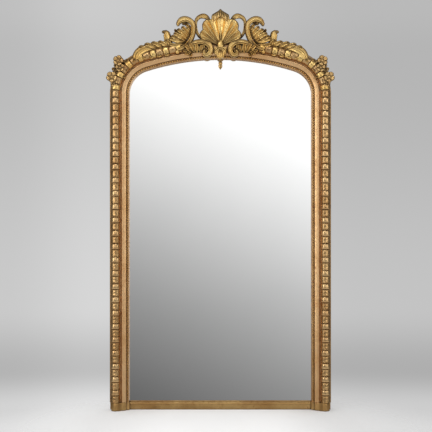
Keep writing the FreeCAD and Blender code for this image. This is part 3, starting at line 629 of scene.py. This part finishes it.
def plinth_blocks():
    """Plinth blocks, stepped and bowed like the mouldings above, and drawn in at foot and top."""
    side_t = PLINTH_T - TORUS_W / 3
    corners = [(FILLET_U, RAIL_T, 0.8), (-PLINTH_RETURN, RAIL_T, 0.8),
               (-PLINTH_RETURN, BEAD_BED_T - PLINTH_RETURN, 2.5), (BAND_U, BEAD_BED_T - PLINTH_RETURN, 1.0),
               (BAND_U, BAND_INNER_T + PLINTH_STEP, 2.5), (HOLLOW_U, BAND_OUTER_T + PLINTH_STEP, 3.0),
               (TORUS_U, side_t, 2.0)]
    bow = [(TORUS_U + TORUS_W * i / 8, side_t + (PLINTH_T - side_t) * sin(pi * i / 8), 0)
           for i in range(1, 8)]
    outline = rounded(corners + bow + [(FILLET_U, side_t, 2.5)], 3)
    middle = Vector((sum(p[0] for p in outline), sum(p[1] for p in outline))) / len(outline)
    rows = []
    for z, draw in PLINTH_DRAWN:
        rows.append([at(SIGHT_HALF_W + middle.x + (u - middle.x) * draw,
                        middle.y + (t - middle.y) * draw, z) for u, t in outline])
    pair("plinth_block", Shape().loft(rows), [GOLD_RAIL], slot="gilt_frame", wobble=0.4)


# Carved crest

def walk(start, heading, arcs, step=4.0):
    """Points (x, z, heading) along a chain of tangent arcs."""
    x, z, direction = start[0], start[1], radians(heading)
    points = [(x, z, direction)]
    for radius, turn in arcs:
        count = max(2, ceil(abs(turn) / step))
        part = radians(turn) / count
        chord = 2 * radius * sin(abs(part) / 2)
        for _ in range(count):
            x += chord * cos(direction + part / 2)
            z += chord * sin(direction + part / 2)
            direction += part
            points.append((x, z, direction))
    return points


# A strap's carved face as (side, drop): rolled edges with a channel between
STRAP_FACE = [(-0.88, 13.0), (-1.0, 8.0), (-1.0, 4.0), (-0.93, 1.4), (-0.80, 0.2), (-0.68, 0.6), (-0.58, 2.6),
              (-0.40, 5.0), (0.0, 5.8), (0.34, 4.6), (0.50, 2.4), (0.62, 0.4), (0.78, -0.4), (0.92, 0.8),
              (1.0, 3.6), (1.0, 8.0), (0.88, 13.0)]
# Beyond this share of the half width, on the outer side, the face is in painted shade
STRAP_SHADED = 0.57


def beside(x, z, direction, left, t, ahead=0.0):
    """Point to the left of a place on a path and ahead of it, at t."""
    across, up = cos(direction), sin(direction)
    return at(x - left * up + ahead * across, t, z + left * across + ahead * up)


def strap(points, widths, front_t, tip, outer=0):
    """Scroll with rolled edges and a channelled face; the outer one (left 1, right -1) rolls back."""
    rows = []
    last = len(points) - 1
    for i, (x, z, direction) in enumerate(points):
        share = i / last
        nose = sqrt(min(1.0, min(share, 1 - share) / tip))
        half = between(widths, share) / 2 * (0.35 + 0.65 * nose)
        top = front_t - 5 * (1 - nose)
        depth = min(half / 9.0, 1.2)
        row = []
        for v, drop in STRAP_FACE:
            rolled = 9.0 * depth * smooth(v * outer, 0.50, 1.0)**1.5
            row.append(beside(x, z, direction, v * half, top - drop * depth - rolled))
        rows.append(row + [beside(x, z, direction, v * half, BED_T) for v in (0.84, -0.84)])

    # The rolled-back outer edge and the sides down to the bed are in painted shade.
    def mark(_, i):
        return 1 if i >= len(STRAP_FACE) or STRAP_FACE[i][0] * outer > STRAP_SHADED else 0
    return Shape().loft(rows, mark=mark)


def leaf_face(a):
    """Carving across a leaf from its middle to its edge: midrib and groove, vein, rolled edge."""
    midrib = 1.5 * exp(-(a / 0.10)**2) - 1.5 * exp(-((a - 0.22) / 0.09)**2)
    vein = exp(-((a - 0.54) / 0.07)**2)
    return 1.6 * exp(-((a - 0.80) / 0.12)**2) - 4.4 * a**2.4 + midrib - vein


def tongue(x, z, heading, length, bend, width, root_t, top_t,
           curl=4.0, lobes=0, full_at=0.5, edge=2.0, tip=2.0):
    """One carved leaf: narrow root, full body with midrib, veins and rolled edges, and a curled tip.

    It is in painted shade past the share tip of its length, and left of the share edge of its half width.
    """
    rows = []
    stations, sides = max(18, round(length / 2.6)), 16
    radius = 0.5 * length / radians(abs(bend))
    slow, fast = bend * 0.35, bend * 0.65
    path = walk((x, z), heading, [(radius / 0.35, slow)], abs(slow) * 2 / stations)
    path += walk(path[-1][:2], degrees(path[-1][2]), [(radius / 0.65, fast)], abs(fast) * 2 / stations)[1:]
    last = len(path) - 1
    for i, (px, pz, direction) in enumerate(path):
        s = i / last
        body = 0.34 + 0.66 * smooth(s, 0.0, full_at)
        if s > full_at:
            body = sqrt(max(0.0, 1 - ((s - full_at) / (1 - full_at))**2.2)) * 0.96 + 0.04
        beat = abs(sin(pi * lobes * s))**0.6 if lobes else 1.0
        half = width / 2 * body * (0.74 + 0.26 * beat)
        rise = root_t + (top_t - root_t) * smooth(s, 0.0, 0.55)
        rise += curl * smooth(s, 0.55, 0.88) - 7 * smooth(s, 0.9, 1)
        full = min(1.0, half / 7.0)
        swept = width * body * (1.0 if lobes else 0.35)
        row = []
        for j in range(sides + 1):
            v = 2 * j / sides - 1
            t = rise + full * leaf_face(abs(v)) - 2.4 * (1 - beat) * smooth(abs(v), 0.25, 0.9)
            row.append(beside(px, pz, direction, v * half, max(t, BED_T + 1.5), 0.20 * v * v * swept))
        rows.append(row + [beside(px, pz, direction, v * half, BED_T, 0.15 * swept) for v in (0.86, -0.86)])

    def mark(row, i):
        return 1 if row > tip * last or ((2 * i + 1) / sides - 1 > edge and row > 0.35 * last) else 0
    return Shape().loft(rows, mark=mark)


def footed(rows):
    """Solid of rows, the first of them carried straight back to the bed."""
    foot = [Vector((p.x, BACK_Y - BED_T, p.z)) for p in rows[0]]
    return Shape().loft([foot] + rows)


def rim_radius(lobes, angle):
    """Distance from the hub to the outermost lobe in one direction."""
    best = 0.0
    for middle, distance, radius in lobes:
        for side in (-1, 1):
            off = radians(angle - side * middle)
            reach = radius**2 - (distance * sin(off))**2
            if reach > 0 and cos(off) > 0:
                best = max(best, distance * cos(off) + sqrt(reach))
    return best


def fan(turn, outline, spread, surface, steps, rings, neck=0.10, back=None, shaded=None):
    """Fan round the hub: outline gives its reach at an angle, surface its t, and shaded its parts in painted
    shade.
    """
    rows = []
    for k in range(rings + 1):
        share = neck + (1 - neck) * (k / rings)**0.85
        row = []
        for i in range(2 * steps + 1):
            angle = spread * (i / steps - 1)
            reach = outline(angle) * share
            direction = radians(90 - angle - turn)
            row.append(at(reach * cos(direction), surface(share, angle), HUB_Z + reach * sin(direction)))
        rows.append(row)
    rim, root = rows[-1], rows[0]
    under_rim, under_root = ([Vector((p.x, BACK_Y - (back(p) if back else BED_T), p.z)) for p in row]
                             for row in (rim, root))
    rows += [[p.lerp(q, 0.55) for p, q in zip(rim, under_rim)], under_rim, under_root]

    def mark(k, i):
        share = neck + (1 - neck) * min((k + 0.5) / rings, 1.0)**0.85
        return 1 if shaded and shaded(share, spread * ((i + 0.5) / steps - 1)) else 0
    return Shape().loft(rows + [root], closed=False, caps=False, mark=mark).add(cheeks(rows))


def cheeks(rows):
    """The two flat sides that close a fan."""
    sides = Shape()
    for end in (0, -1):
        edge = [row[end] for row in rows]
        sides.faces.append(tuple(range(len(sides.points), len(sides.points) + len(edge))))
        sides.points += edge
        sides.marks.append(0)
    return sides


# What the pieces of the crest share: leaf, leaf in painted shade, slot and unevenness
CARVED = {"materials": [GOLD_CREST, GOLD_PAINTED_SHADE], "slot": "gilt_crest", "wobble": 0.6}
# The shell's lobes as angle from upright, distance from the hub and radius; then its ridges' angles
SHELL_LOBES = [(0.0, 137.0, 45.0), (30.0, 112.0, 35.0), (54.5, 90.0, 30.0)]
RIDGES = (11.5, 26.5, 41.5, 58.0, 76.0)
CURL_SHARE, CURL_SPREAD = 0.775, 19.0


def shell_reach(angle):
    """Outline of the shell: its lobes, with an ogee point at the top."""
    a = abs(angle)
    shoulder = (1 - exp(-(a / 2.8)**2)) * (1 - smooth(a, 9.0, 17.0))
    return rim_radius(SHELL_LOBES, angle) - 8.5 * shoulder


def shell_surface(share, angle):
    """Front of the scallop shell: sharp ridges, hollow flutes, and a tip that curls forward."""
    a = abs(angle)
    rise = sin(min(share / 0.95, 1.0) * pi / 2)**1.5
    base = SHELL_HUB_T - 7 + (SHELL_T - SHELL_HUB_T - 2) * rise
    width = 7.6 if a < 11.5 else 7.5 if a < 58 else 9.0
    nearest = min(abs(a - ridge) for ridge in RIDGES)
    hollow = smooth(nearest, 0.0, width)**0.72 * (0.55 if 11.5 < a < 26.5 else 1.0)
    depth = (3.0 + 6.5 * smooth(share, 0.15, 0.75)) * (1 - 0.55 * smooth(share, 0.88, 1.0))
    ridge = 2.4 * exp(-(nearest / 1.1)**2) * smooth(share, 0.1, 0.3)
    slot = 5.0 * exp(-((a - 4.6) / 1.5)**2) * exp(-((share - 0.26) / 0.10)**2)
    fine = 0.8 * cos(radians(angle) * 74) * smooth(share, 0.35, 0.6) * hollow
    roll = 12.0 * smooth(share, 0.94, 1.0)**2
    over = 1 - smooth(a, CURL_SPREAD - 7, CURL_SPREAD)
    over *= smooth(share, CURL_SHARE - 0.012, CURL_SHARE + 0.018)
    turned = min(max((share - CURL_SHARE) / (1 - CURL_SHARE), 0.0), 1.0)
    crease = 2.6 * exp(-(a / 2.2)**2) - 1.8 * exp(-((a - 6.5) / 2.0)**2)
    t = base - hollow * depth * (1 - 0.8 * over) + ridge * (1 - over) - slot + fine - roll
    return min(t + over * (5.0 - 15.0 * turned**1.6 + crease), SHELL_T)


def heel():
    """Slim fluted teardrop at the shell's hub."""
    rows = []
    for i in range(9):
        turn = pi / 2 * i / 8
        row = []
        for a in turns(42):
            half_w = 16 * (1 - 0.45 * max(0.0, sin(a))**1.5)
            flute = 1.2 * cos(7 * a) * cos(turn)
            row.append(at(half_w * cos(turn) * cos(a), SHELL_HUB_T - 5 + 10 * sin(turn) + flute,
                          HUB_Z + 1 + (32 if sin(a) > 0 else 14) * cos(turn) * sin(a)))
        rows.append(row)
    return footed(rows)


def shell():
    """Scallop shell and the heel at its hub."""
    foot_z, top_z = HUB_Z + CREST_BOARD_RISE, HUB_Z + SHELL_LOBES[0][1] + SHELL_LOBES[0][2]

    def back(p):
        return BED_T + SHELL_LEAN * min(max((p.z - foot_z) / (top_z - foot_z), 0.0), 1.0)

    # The rim and the curled tip are in painted shade.
    def shaded(share, angle):
        return share > 0.955 or (share > CURL_SHARE and abs(angle) < CURL_SPREAD - 2)
    body = fan(0, shell_reach, SHELL_SPREAD, shell_surface, 110, 66, 0.16, back, shaded)
    body.add(heel()).make("shell_dressed", nodes=["shell"], **CARVED)


def veined(hub_t, front_t, lobes):
    """Surface of a small leafy fan: a groove between lobes and a vein up each."""
    middles = sorted({m * s for m, _, _ in lobes for s in (-1, 1)})

    def surface(share, angle):
        near = min(abs(angle - m) for m in middles)
        rise = sin(min(share / 0.85, 1.0) * pi / 2)
        cut = smooth(near, 6.0, 17.0) * 4.0 * smooth(share, 0.1, 0.5)
        vein = (1 - smooth(near, 0.5, 3.5)) * 2.0
        return hub_t + (front_t - hub_t) * rise - cut - vein - 5.0 * smooth(share, 0.86, 1.0)
    return surface


# The drop as distance down from its top and radius; it is fluted below its stem
PENDANT_T, PENDANT_DOWN, STEM_L = 72.0, 63.0, 15.0
PENDANT = [(-16, 4.0), (-4, 4.0), (0, 5.5), (3, 4.2), (6, 3.6), (9, 4.2), (10.5, 6.0), (12.5, 6.0), (14, 5.0),
           (16.5, 8.0), (20, 10.0), (24, 10.6), (29, 9.4), (33, 7.2), (37, 4.4), (40, 2.0), (41.5, 0.8)]


def drop_pendant():
    """Turned stem with a fluted, pointed drop."""
    rows = []
    for down, radius in PENDANT:
        flute = 0.10 if down > STEM_L else 0.0
        row = []
        for a in turns(32):
            reach = radius * (1 - flute * abs(sin(4 * a)))
            row.append(at(reach * cos(a), PENDANT_T + reach * sin(a), HUB_Z - PENDANT_DOWN - down))
        rows.append(row)
    # The whole drop is in the darker painted-shade gilding.
    Shape().loft(rows).make("pendant_drop_dressed", [GOLD_PAINTED_SHADE], ["pendant_drop"], slot="gilt_crest")


PETALS, HEART = 5, 0.27


def blossom(x, z, radius, front_t, turn):
    """Open flower: cupped round petals about a sunk, beaded heart."""
    rows = []
    for k in range(22):
        share = 0.04 + 0.96 * k / 21
        row = []
        for angle in turns(14 * PETALS):
            beat = abs(cos(PETALS * angle / 2))
            outline = 0.80 + 0.20 * beat**0.45
            reach = radius * share * (1 + (outline - 1) * smooth(share, 0.3, 0.65))
            if share < HEART:
                t = front_t - 3.0 - 4.5 * (share / HEART)**2
            else:
                cup = min((share - HEART) / 0.55, 1.0)
                t = front_t - 8.5 + 8.5 * sin(pi / 2 * cup)**0.8
                t -= 6.5 * (1 - beat**0.5) * smooth(share, HEART, 0.5)
                t -= 1.3 * exp(-((1 - beat) / 0.03)**2) * smooth(share, 0.35, 0.6)
                t -= 8.0 * smooth(share, 0.84, 1.0)**2
            row.append(at(x + reach * cos(angle + turn), max(t, BED_T + 1), z + reach * sin(angle + turn)))
        rows.append(row)
    rows.append([Vector((p.x + (x - p.x) * 0.12, BACK_Y - BED_T, p.z + (z - p.z) * 0.12)) for p in rows[-1]])
    return Shape().loft(rows)


def bud(x, z, radius, front_t):
    """Round boss that stands up from the bed."""
    rows = []
    for i in range(9):
        turn = pi / 2 * i / 8.4
        reach = radius * cos(turn)
        rows.append([at(x + reach * cos(a), front_t - radius * (1 - sin(turn)), z + reach * sin(a))
                     for a in turns(20)])
    return footed(rows)


# Leaves of the crest: x, height above the hub, heading, length, bend, width, root t, top t
C_SCROLL_LEAVES = [(143, 52, 82, 62, -44, 25, 72, 82), (148, 40, 64, 72, -34, 27, 72, 85),
                   (154, 30, 48, 80, -20, 28, 72, 88), (162, 24, 32, 80, -10, 28, 72, 91),
                   (172, 20, 16, 78, 14, 26, 72, 88), (148, 84, 66, 56, -84, 18, 70, 78),
                   (206, 56, 62, 34, -40, 17, 66, 80)]
SWOOSH_LEAVES = [(163, 25, -2, 92, 22, 27, 72, 86), (152, 7, -12, 108, 30, 24, 72, 84)]
VOLUTE_LEAVES = [(118, -34, 96, 46, -30, 22, 76, 93), (130, -32, 72, 50, -28, 22, 76, 94),
                 (142, -32, 52, 50, -22, 22, 76, 92), (104, -34, 116, 40, -30, 18, 74, 91),
                 (150, -28, 10, 36, -22, 18, 72, 88), (152, -28, -36, 28, 24, 16, 72, 86),
                 (146, -30, -88, 26, 24, 15, 72, 84), (94, -24, 130, 32, -60, 16, 76, 92)]
ACANTHUS_LEAVES = [(234, -18, 68, 64, -52, 24, 66, 84), (250, -20, 56, 74, -58, 26, 67, 87),
                   (276, -23, 52, 80, -60, 27, 67, 88), (304, -28, 48, 84, -60, 28, 67, 88),
                   (330, -32, 40, 84, -60, 28, 67, 86)]
BROAD_LEAF = (290, -22, 24, 170, -108, 40, 66, 90)
# Lobes that hang from the acanthus over the torus
UNDER_LEAVES = [(246, -34, -34, 34, 30, 15, 64, 84), (284, -38, -36, 36, 30, 16, 64, 84),
                (322, -44, -40, 36, 30, 16, 64, 84), (360, -46, -46, 34, 26, 15, 64, 84),
                (430, -50, -96, 34, 24, 13, 66, 86)]
# Leaves about the flowers: x, height above the springing, heading, length, bend, width, root t, top t
FLOWER_LEAVES = [(450, 144, 36, 36, -30, 18, 68, 84), (466, 130, 16, 34, -24, 17, 68, 84),
                 (480, 156, 150, 30, 40, 18, 70, 88), (500, 142, -14, 30, -26, 20, 70, 88),
                 (502, 112, 22, 38, -40, 20, 70, 88), (512, 100, 52, 28, -40, 18, 70, 86),
                 (510, 66, -16, 38, 30, 18, 70, 86), (516, 54, -40, 34, 30, 16, 70, 82),
                 (486, 110, 160, 28, 40, 16, 70, 82), (492, 86, 200, 24, 30, 14, 68, 80)]
# Flowers: x, height above the springing, radius, front
BLOSSOMS = [(507, 160, 27, 95), (499, 126, 23, 94), (540, 79, 28, 95), (528, 48, 19, 90), (514, 102, 15, 88)]


def placed(leaves, ground, **options):
    """All the leaves of a list, their heights taken from ground."""
    group = Shape()
    for x, rise, *sizes in leaves:
        group.add(tongue(x, ground + rise, *sizes, **options))
    return group


def scrolls():
    """Volutes, loops and C-scrolls each side of the shell, with their foliage."""
    path = walk((159, HUB_Z - 5), 135, [(84, 30), (88, 29), (42, 56), (31, 84), (14, 177)])
    volute = strap(path, (24, 30, 25, 20, 12), 96.5, tip=0.04, outer=-1)
    volute.add(placed(VOLUTE_LEAVES, HUB_Z, full_at=0.34, curl=6.0))
    volute.add(bud(72, HUB_Z - 29, 8, 90)).add(tongue(84, HUB_Z - 14, 196, 24, 40, 12, 78, 90))
    volute.add(blossom(160, HUB_Z - 34, 13, 90, 0.3))
    pair("volute", volute, **CARVED)

    path = walk((59, HUB_Z + 130), 67, [(32, -93), (36, -58), (120, -22), (60, -40)])
    pair("loop", strap(path, (20, 27, 20, 15, 14), 83, tip=0.03, outer=1), **CARVED)

    path = walk((213, HUB_Z + 100), 96, [(37, 99), (46, 72), (115, 37), (95, 48)])
    curl = strap(path, (18, 31, 28, 23, 19), 92, tip=0.05, outer=-1)
    pair("c_scroll", curl.add(bud(214, HUB_Z - 30, 10, 88)), **CARVED)

    leaves = placed(C_SCROLL_LEAVES, HUB_Z, curl=7.0, lobes=3, full_at=0.34, tip=0.82)
    leaves.add(placed(SWOOSH_LEAVES, HUB_Z)).add(bud(193, HUB_Z + 62, 7, 90))
    pair("scroll_palmette", leaves, **CARVED)


def foliage():
    """Acanthus down each side of the arch, with the hook that rises from it."""
    rib_u, rib_step = 96, 8
    rib_start = arch_run_to(236, rib_u)
    path = [arch_place(rib_start - rib_step * i, rib_u) for i in range(25)]
    blade = strap([(x, z, angle - pi / 2) for x, z, angle in path], (14, 20, 22, 20, 8), 74, tip=0.08)
    blade.add(placed(ACANTHUS_LEAVES, HUB_Z, lobes=3, curl=5.0, full_at=0.30, tip=0.76))
    blade.add(placed(UNDER_LEAVES, HUB_Z))
    curl = walk((262, crown_z(262, FILLET_U)), 98, [(136, -25), (16, -105)], 3.0)
    hook = strap(curl, (40, 36, 28, 17, 8), 84, tip=0.05, outer=1)
    # The far half of the hook, to its curled tip, is in painted shade.
    lit = len(hook.marks) // 2
    hook.marks[lit:] = [1] * (len(hook.marks) - lit)
    blade.add(hook).add(placed([BROAD_LEAF], HUB_Z, full_at=0.66, curl=2.0, edge=0.45, tip=0.93))
    pair("acanthus_leaf", blade, **CARVED)


def shoulders():
    """Flowers and the leaf spray about them on each shoulder."""
    flowers = Shape()
    for x, rise, radius, front in BLOSSOMS:
        flowers.add(blossom(x, SPRING_Z + rise, radius, front, x))
    pair("shoulder_flowers", flowers, [GOLD_BLOSSOM], slot="gilt_crest", wobble=0.5)
    spray = placed(FLOWER_LEAVES, SPRING_Z, lobes=2)
    pair("shoulder_spray", spray, [GOLD_BLOSSOM], slot="gilt_crest", wobble=0.4)


def apron():
    """Leafy apron under the shell."""
    lobes = [(0.0, 44.0, 20.0), (30.0, 36.0, 13.0), (58.0, 26.0, 12.0)]
    body = fan(180, lambda angle: rim_radius(lobes, angle), 68, veined(82, 92, lobes), 56, 30)
    for side in (-1, 1):
        body.add(tongue(side * 12, HUB_Z - 14, 90 + side * 128, 26, side * 30, 12, 80, 92))
    body.make("shell_apron_dressed", [GOLD_CREST], ["shell_apron"], slot="gilt_crest", wobble=0.5)


# Hanging hardware

EYE_Y = BACK_Y + EYE_R
WIRE_R = RING_WIRE / 2 - 0.15
TAPER_L, PLATE_TIP = 66.0, 5.0


def wire_tube(points):
    """Rows round a wire whose points lie in one upright plane."""
    forward = Vector((0, 1, 0))
    rows = []
    for i, p in enumerate(points):
        tangent = (points[min(i + 1, len(points) - 1)] - points[max(i - 1, 0)]).normalized()
        out = forward.cross(tangent).normalized()
        rows.append([p + WIRE_R * (out * cos(a) + forward * sin(a)) for a in turns(14)])
    return rows


def hanging_rings():
    """D-ring of round wire in the eye of each strap."""
    bar = [Vector((STILE_X + x, EYE_Y, HANGER_Z)) for x in (-RING_R, 0, RING_R)]
    bow = [Vector((STILE_X + RING_R * cos(a), EYE_Y, HANGER_Z - RING_R * sin(a)))
           for a in [pi * i / 28 for i in range(29)]]
    ring = Shape().loft(wire_tube(bar)).loft(wire_tube(bow))
    ring.ball(bow[0], WIRE_R * 1.02, 8, 14).ball(bow[-1], WIRE_R * 1.02, 8, 14)
    for side, form in (("right", ring), ("left", ring.mirrored())):
        form.make(f"{side}_hanging_ring_dressed", [IRON], [f"{side}_hanging_ring"],
                  body=f"{side}_ring", slot="iron")


def hanger_plates():
    """Tapered iron strap on each stile, rolled into an eye at its top."""
    outline = rounded([(-EYE_HALF_W, 0, 0.5), (EYE_HALF_W, 0, 0.5), (EYE_HALF_W, -TAPER_L, 4),
                       (PLATE_TIP, -HANGER_PLATE_L, 5), (-PLATE_TIP, -HANGER_PLATE_L, 5),
                       (-EYE_HALF_W, -TAPER_L, 4)])
    rows = []
    for y, draw in ((0, 1.0), (PLATE_THICK - 0.6, 1.0), (PLATE_THICK, 0.95)):
        rows.append([Vector((STILE_X + x * draw, BACK_Y + y, HANGER_Z + z * (1 - (1 - draw) * 0.2)))
                     for x, z in outline])
    plate = Shape().loft(rows)
    inner, outer = RING_WIRE / 2 + 0.1, EYE_R - 0.1
    half = [(EYE_HALF_W, inner), (EYE_HALF_W, outer - 0.5), (EYE_HALF_W - 0.6, outer)]
    section = [(-x, r) for x, r in half] + half[::-1]
    rows = [[Vector((STILE_X + x, EYE_Y + r * cos(a), HANGER_Z + r * sin(a))) for a in turns(32)]
            for x, r in section]
    plate.loft(rows + [rows[0]], caps=False)
    pair("hanger_plate", plate, [IRON], slot="iron")


for build in (carcass, mouldings, bottom_rail, plinth_blocks, shell, apron, drop_pendant, scrolls, foliage,
              shoulders, hanging_rings, hanger_plates):
    build()

NODE_MATERIALS = {"back_board_nails": IRON, "crest_plate": IRON, "crest_plate_screws": IRON,
                  "hanger_screws": IRON, "mirror_plate": MIRROR, "crest_block": PINE_FRAME,
                  "crest_board": PINE_BOARD, "glazing_blocks": PINE_FRAME}
for name, obj in frame["nodes"].items():
    material = NODE_MATERIALS.get(name, PINE_BOARD if name.startswith("back_board_") else None)
    if material:
        obj.data.materials.clear()
        obj.data.materials.append(material)


# Setting

# Distances are in metres from here on
CAMERA_PLACE, LENS = (-0.022, -5.539, 0.970), 92.4
FLOOR_HALF, FLOOR_TONE = 4.0, 0.965
# To each side the floor is painted darker, as shade, between two distances, by so much; it fades out round
# its centre
FLOOR_SIDE_SHADE = ((-0.20, -0.62, 0.15), (0.20, 0.60, 0.22))
FLOOR_CENTRE_Y, FADE_START, FADE_END = -0.42, 0.45, 1.15
# Light that the object gets from all round, on soft surfaces and in what it mirrors
SOFT_GLOW, FLOOR_GLOW, ROOM_GLOW = 0.82, 0.60, 0.22
# What the plate shows: how steeply its shade slants, where it starts and ends, and its tones there
SHADE_SLANT, SHADE_FROM, SHADE_TO, SHADE_LOW, SHADE_HIGH = 0.487, -0.25, 0.0884, 0.2975, 1.025
# Greys behind the object: floor, shaded foot of the wall, lit wall and its top, then left to right
WALL_HEIGHTS = ((0.03, 0.79), (0.08, 0.70), (0.16, 0.49), (0.30, 0.63), (0.86, 0.53), (0.965, 0.56))
WALL_SIDES = ((0.025, 0.93), (0.24, 1.07), (0.85, 0.87))
WALL_VIEW = 0.2


def pale_floor():
    """Pale floor, painted darker at both sides as shade, that fades into the surroundings."""
    mesh = bpy.data.meshes.new("floor")
    ends = (-FLOOR_HALF, FLOOR_HALF)
    mesh.from_pydata([(x, y, 0) for y in ends for x in ends], [], [(0, 1, 3, 2)])
    floor = bpy.data.objects.new("floor", mesh)
    bpy.context.scene.collection.objects.link(floor)
    material, tree, shader = nodes_of("floor_pale")
    shader.inputs["Roughness"].default_value = 0.9
    shader.inputs["Specular IOR Level"].default_value = 0.0
    place = node(tree, "ShaderNodeTexCoord").outputs["Object"]
    aside = node(tree, "ShaderNodeSeparateXYZ", {"Vector": place}).outputs["X"]
    # Painted shade: the floor's tone drops towards both sides.
    left, right = (span(aside, near, far, 0.0, lost) for near, far, lost in FLOOR_SIDE_SHADE)
    tree.links.new(maths("SUBTRACT", FLOOR_TONE, plus(left, right)), shader.inputs["Base Color"])
    ahead = node(tree, "ShaderNodeVectorMath", {0: place}, operation="ADD")
    ahead.inputs[1].default_value = (0.0, -FLOOR_CENTRE_Y, 0.0)
    far = node(tree, "ShaderNodeVectorMath", {0: ahead.outputs[0]}, operation="LENGTH")
    rays = node(tree, "ShaderNodeLightPath").outputs
    faded = span(far.outputs["Value"], FADE_START, FADE_END)
    hidden = maths("MAXIMUM", faded, rays["Is Glossy Ray"])
    clear = tree.nodes.new("ShaderNodeBsdfTransparent")
    mixer = tree.nodes.new("ShaderNodeMixShader")
    tree.links.new(hidden, mixer.inputs[0])
    tree.links.new(shader.outputs[0], mixer.inputs[1])
    tree.links.new(clear.outputs[0], mixer.inputs[2])
    tree.links.new(mixer.outputs[0], tree.nodes["Material Output"].inputs["Surface"])
    floor.data.materials.append(material)


def lamp(name, place, aim, size, watts, colour=(1, 1, 1)):
    """Soft oblong lamp aimed at a point."""
    light = bpy.data.lights.new(name, "AREA")
    light.shape = "RECTANGLE"
    light.size, light.size_y = size
    light.energy = watts
    light.color = colour
    obj = bpy.data.objects.new(name, light)
    obj.location = place
    obj.rotation_euler = (Vector(aim) - Vector(place)).to_track_quat("-Z", "Y").to_euler()
    bpy.context.scene.collection.objects.link(obj)


def greys(value, stops):
    """Smooth run of greys over a value from 0 to 1."""
    ramp = node(value.id_data, "ShaderNodeValToRGB", {"Fac": value})
    ramp.color_ramp.interpolation = "EASE"
    while len(ramp.color_ramp.elements) < len(stops):
        ramp.color_ramp.elements.new(0.5)
    for element, (place, grey) in zip(ramp.color_ramp.elements, stops):
        element.position = place
        element.color = (grey, grey, grey, 1)
    return ramp.outputs[0]


def pick(share, a, b):
    """Value a where share is 0 and b where it is 1."""
    tree = share.id_data
    mixer = tree.nodes.new("ShaderNodeMix")
    for i, value in ((0, share), (2, a), (3, b)):
        if isinstance(value, float):
            mixer.inputs[i].default_value = value
        else:
            tree.links.new(value, mixer.inputs[i])
    return mixer.outputs[0]


def world():
    """Surroundings graded by direction: one for reflections, one seen behind the object."""
    made = bpy.data.worlds.new("studio")
    bpy.context.scene.world = made
    made.use_nodes = True
    tree = made.node_tree
    tree.nodes.clear()
    view = node(tree, "ShaderNodeTexCoord").outputs["Generated"]
    split = node(tree, "ShaderNodeSeparateXYZ", {"Vector": view}).outputs
    rays = node(tree, "ShaderNodeLightPath").outputs

    # In front: what the plate shows, white above and to the right and grey below
    slope = plus(split["Z"], times(split["X"], SHADE_SLANT))
    level = span_line(slope, SHADE_FROM, SHADE_TO, SHADE_LOW, SHADE_HIGH)
    front = maths("POWER", level, 2.2)

    # All round: pale floor, dim walls, and dark above and behind
    room = span_line(split["Z"], -0.42, -0.20, FLOOR_GLOW, ROOM_GLOW)
    above = span_line(split["Z"], 0.25, 0.85, 1.0, 0.45)
    behind = span_line(split["Y"], -0.15, 0.45, 1.0, 0.40)
    room = times(times(room, above), behind)
    ahead = span(split["Y"], -0.955, -0.86, 1.0, 0.0)
    mirrored = pick(ahead, room, front)

    # Seen directly: a grey wall that turns into a paler floor
    heights, sides = (greys(span_line(split[axis], -WALL_VIEW, WALL_VIEW), stops)
                      for axis, stops in (("Z", WALL_HEIGHTS), ("X", WALL_SIDES)))
    seen = times(heights, sides)

    light = pick(rays["Is Glossy Ray"], SOFT_GLOW, mirrored)
    light = pick(rays["Is Camera Ray"], light, seen)
    background = node(tree, "ShaderNodeBackground", {"Color": light}, Strength=1.0)
    output = tree.nodes.new("ShaderNodeOutputWorld")
    tree.links.new(background.outputs[0], output.inputs["Surface"])


def camera():
    """Long lens level with the middle of the mirror, a little left of it."""
    lens = bpy.data.cameras.new("camera")
    lens.sensor_width = 36.0
    lens.lens = LENS
    lens.clip_end = 100
    obj = bpy.data.objects.new("camera", lens)
    obj.location = CAMERA_PLACE
    obj.rotation_euler = (pi / 2, 0, 0)
    bpy.context.scene.collection.objects.link(obj)
    bpy.context.scene.camera = obj


camera()
pale_floor()
world()
lamp("key", (-2.5, -2.5, 1.55), (0, 0, 1.1), (1.5, 3.0), 30, (1.0, 0.985, 0.96))
lamp("fill", (2.6, -2.5, 1.45), (0, 0, 1.0), (1.3, 2.8), 17, (1.0, 0.985, 0.96))
lamp("top", (-0.3, -2.4, 3.6), (0, -0.3, 0.4), (2.4, 1.2), 22)
lamp("rim", (0.6, 2.6, 3.0), (0, 0, 1.2), (2.0, 1.4), 10)
bpy.context.scene.view_settings.view_transform = "Standard"
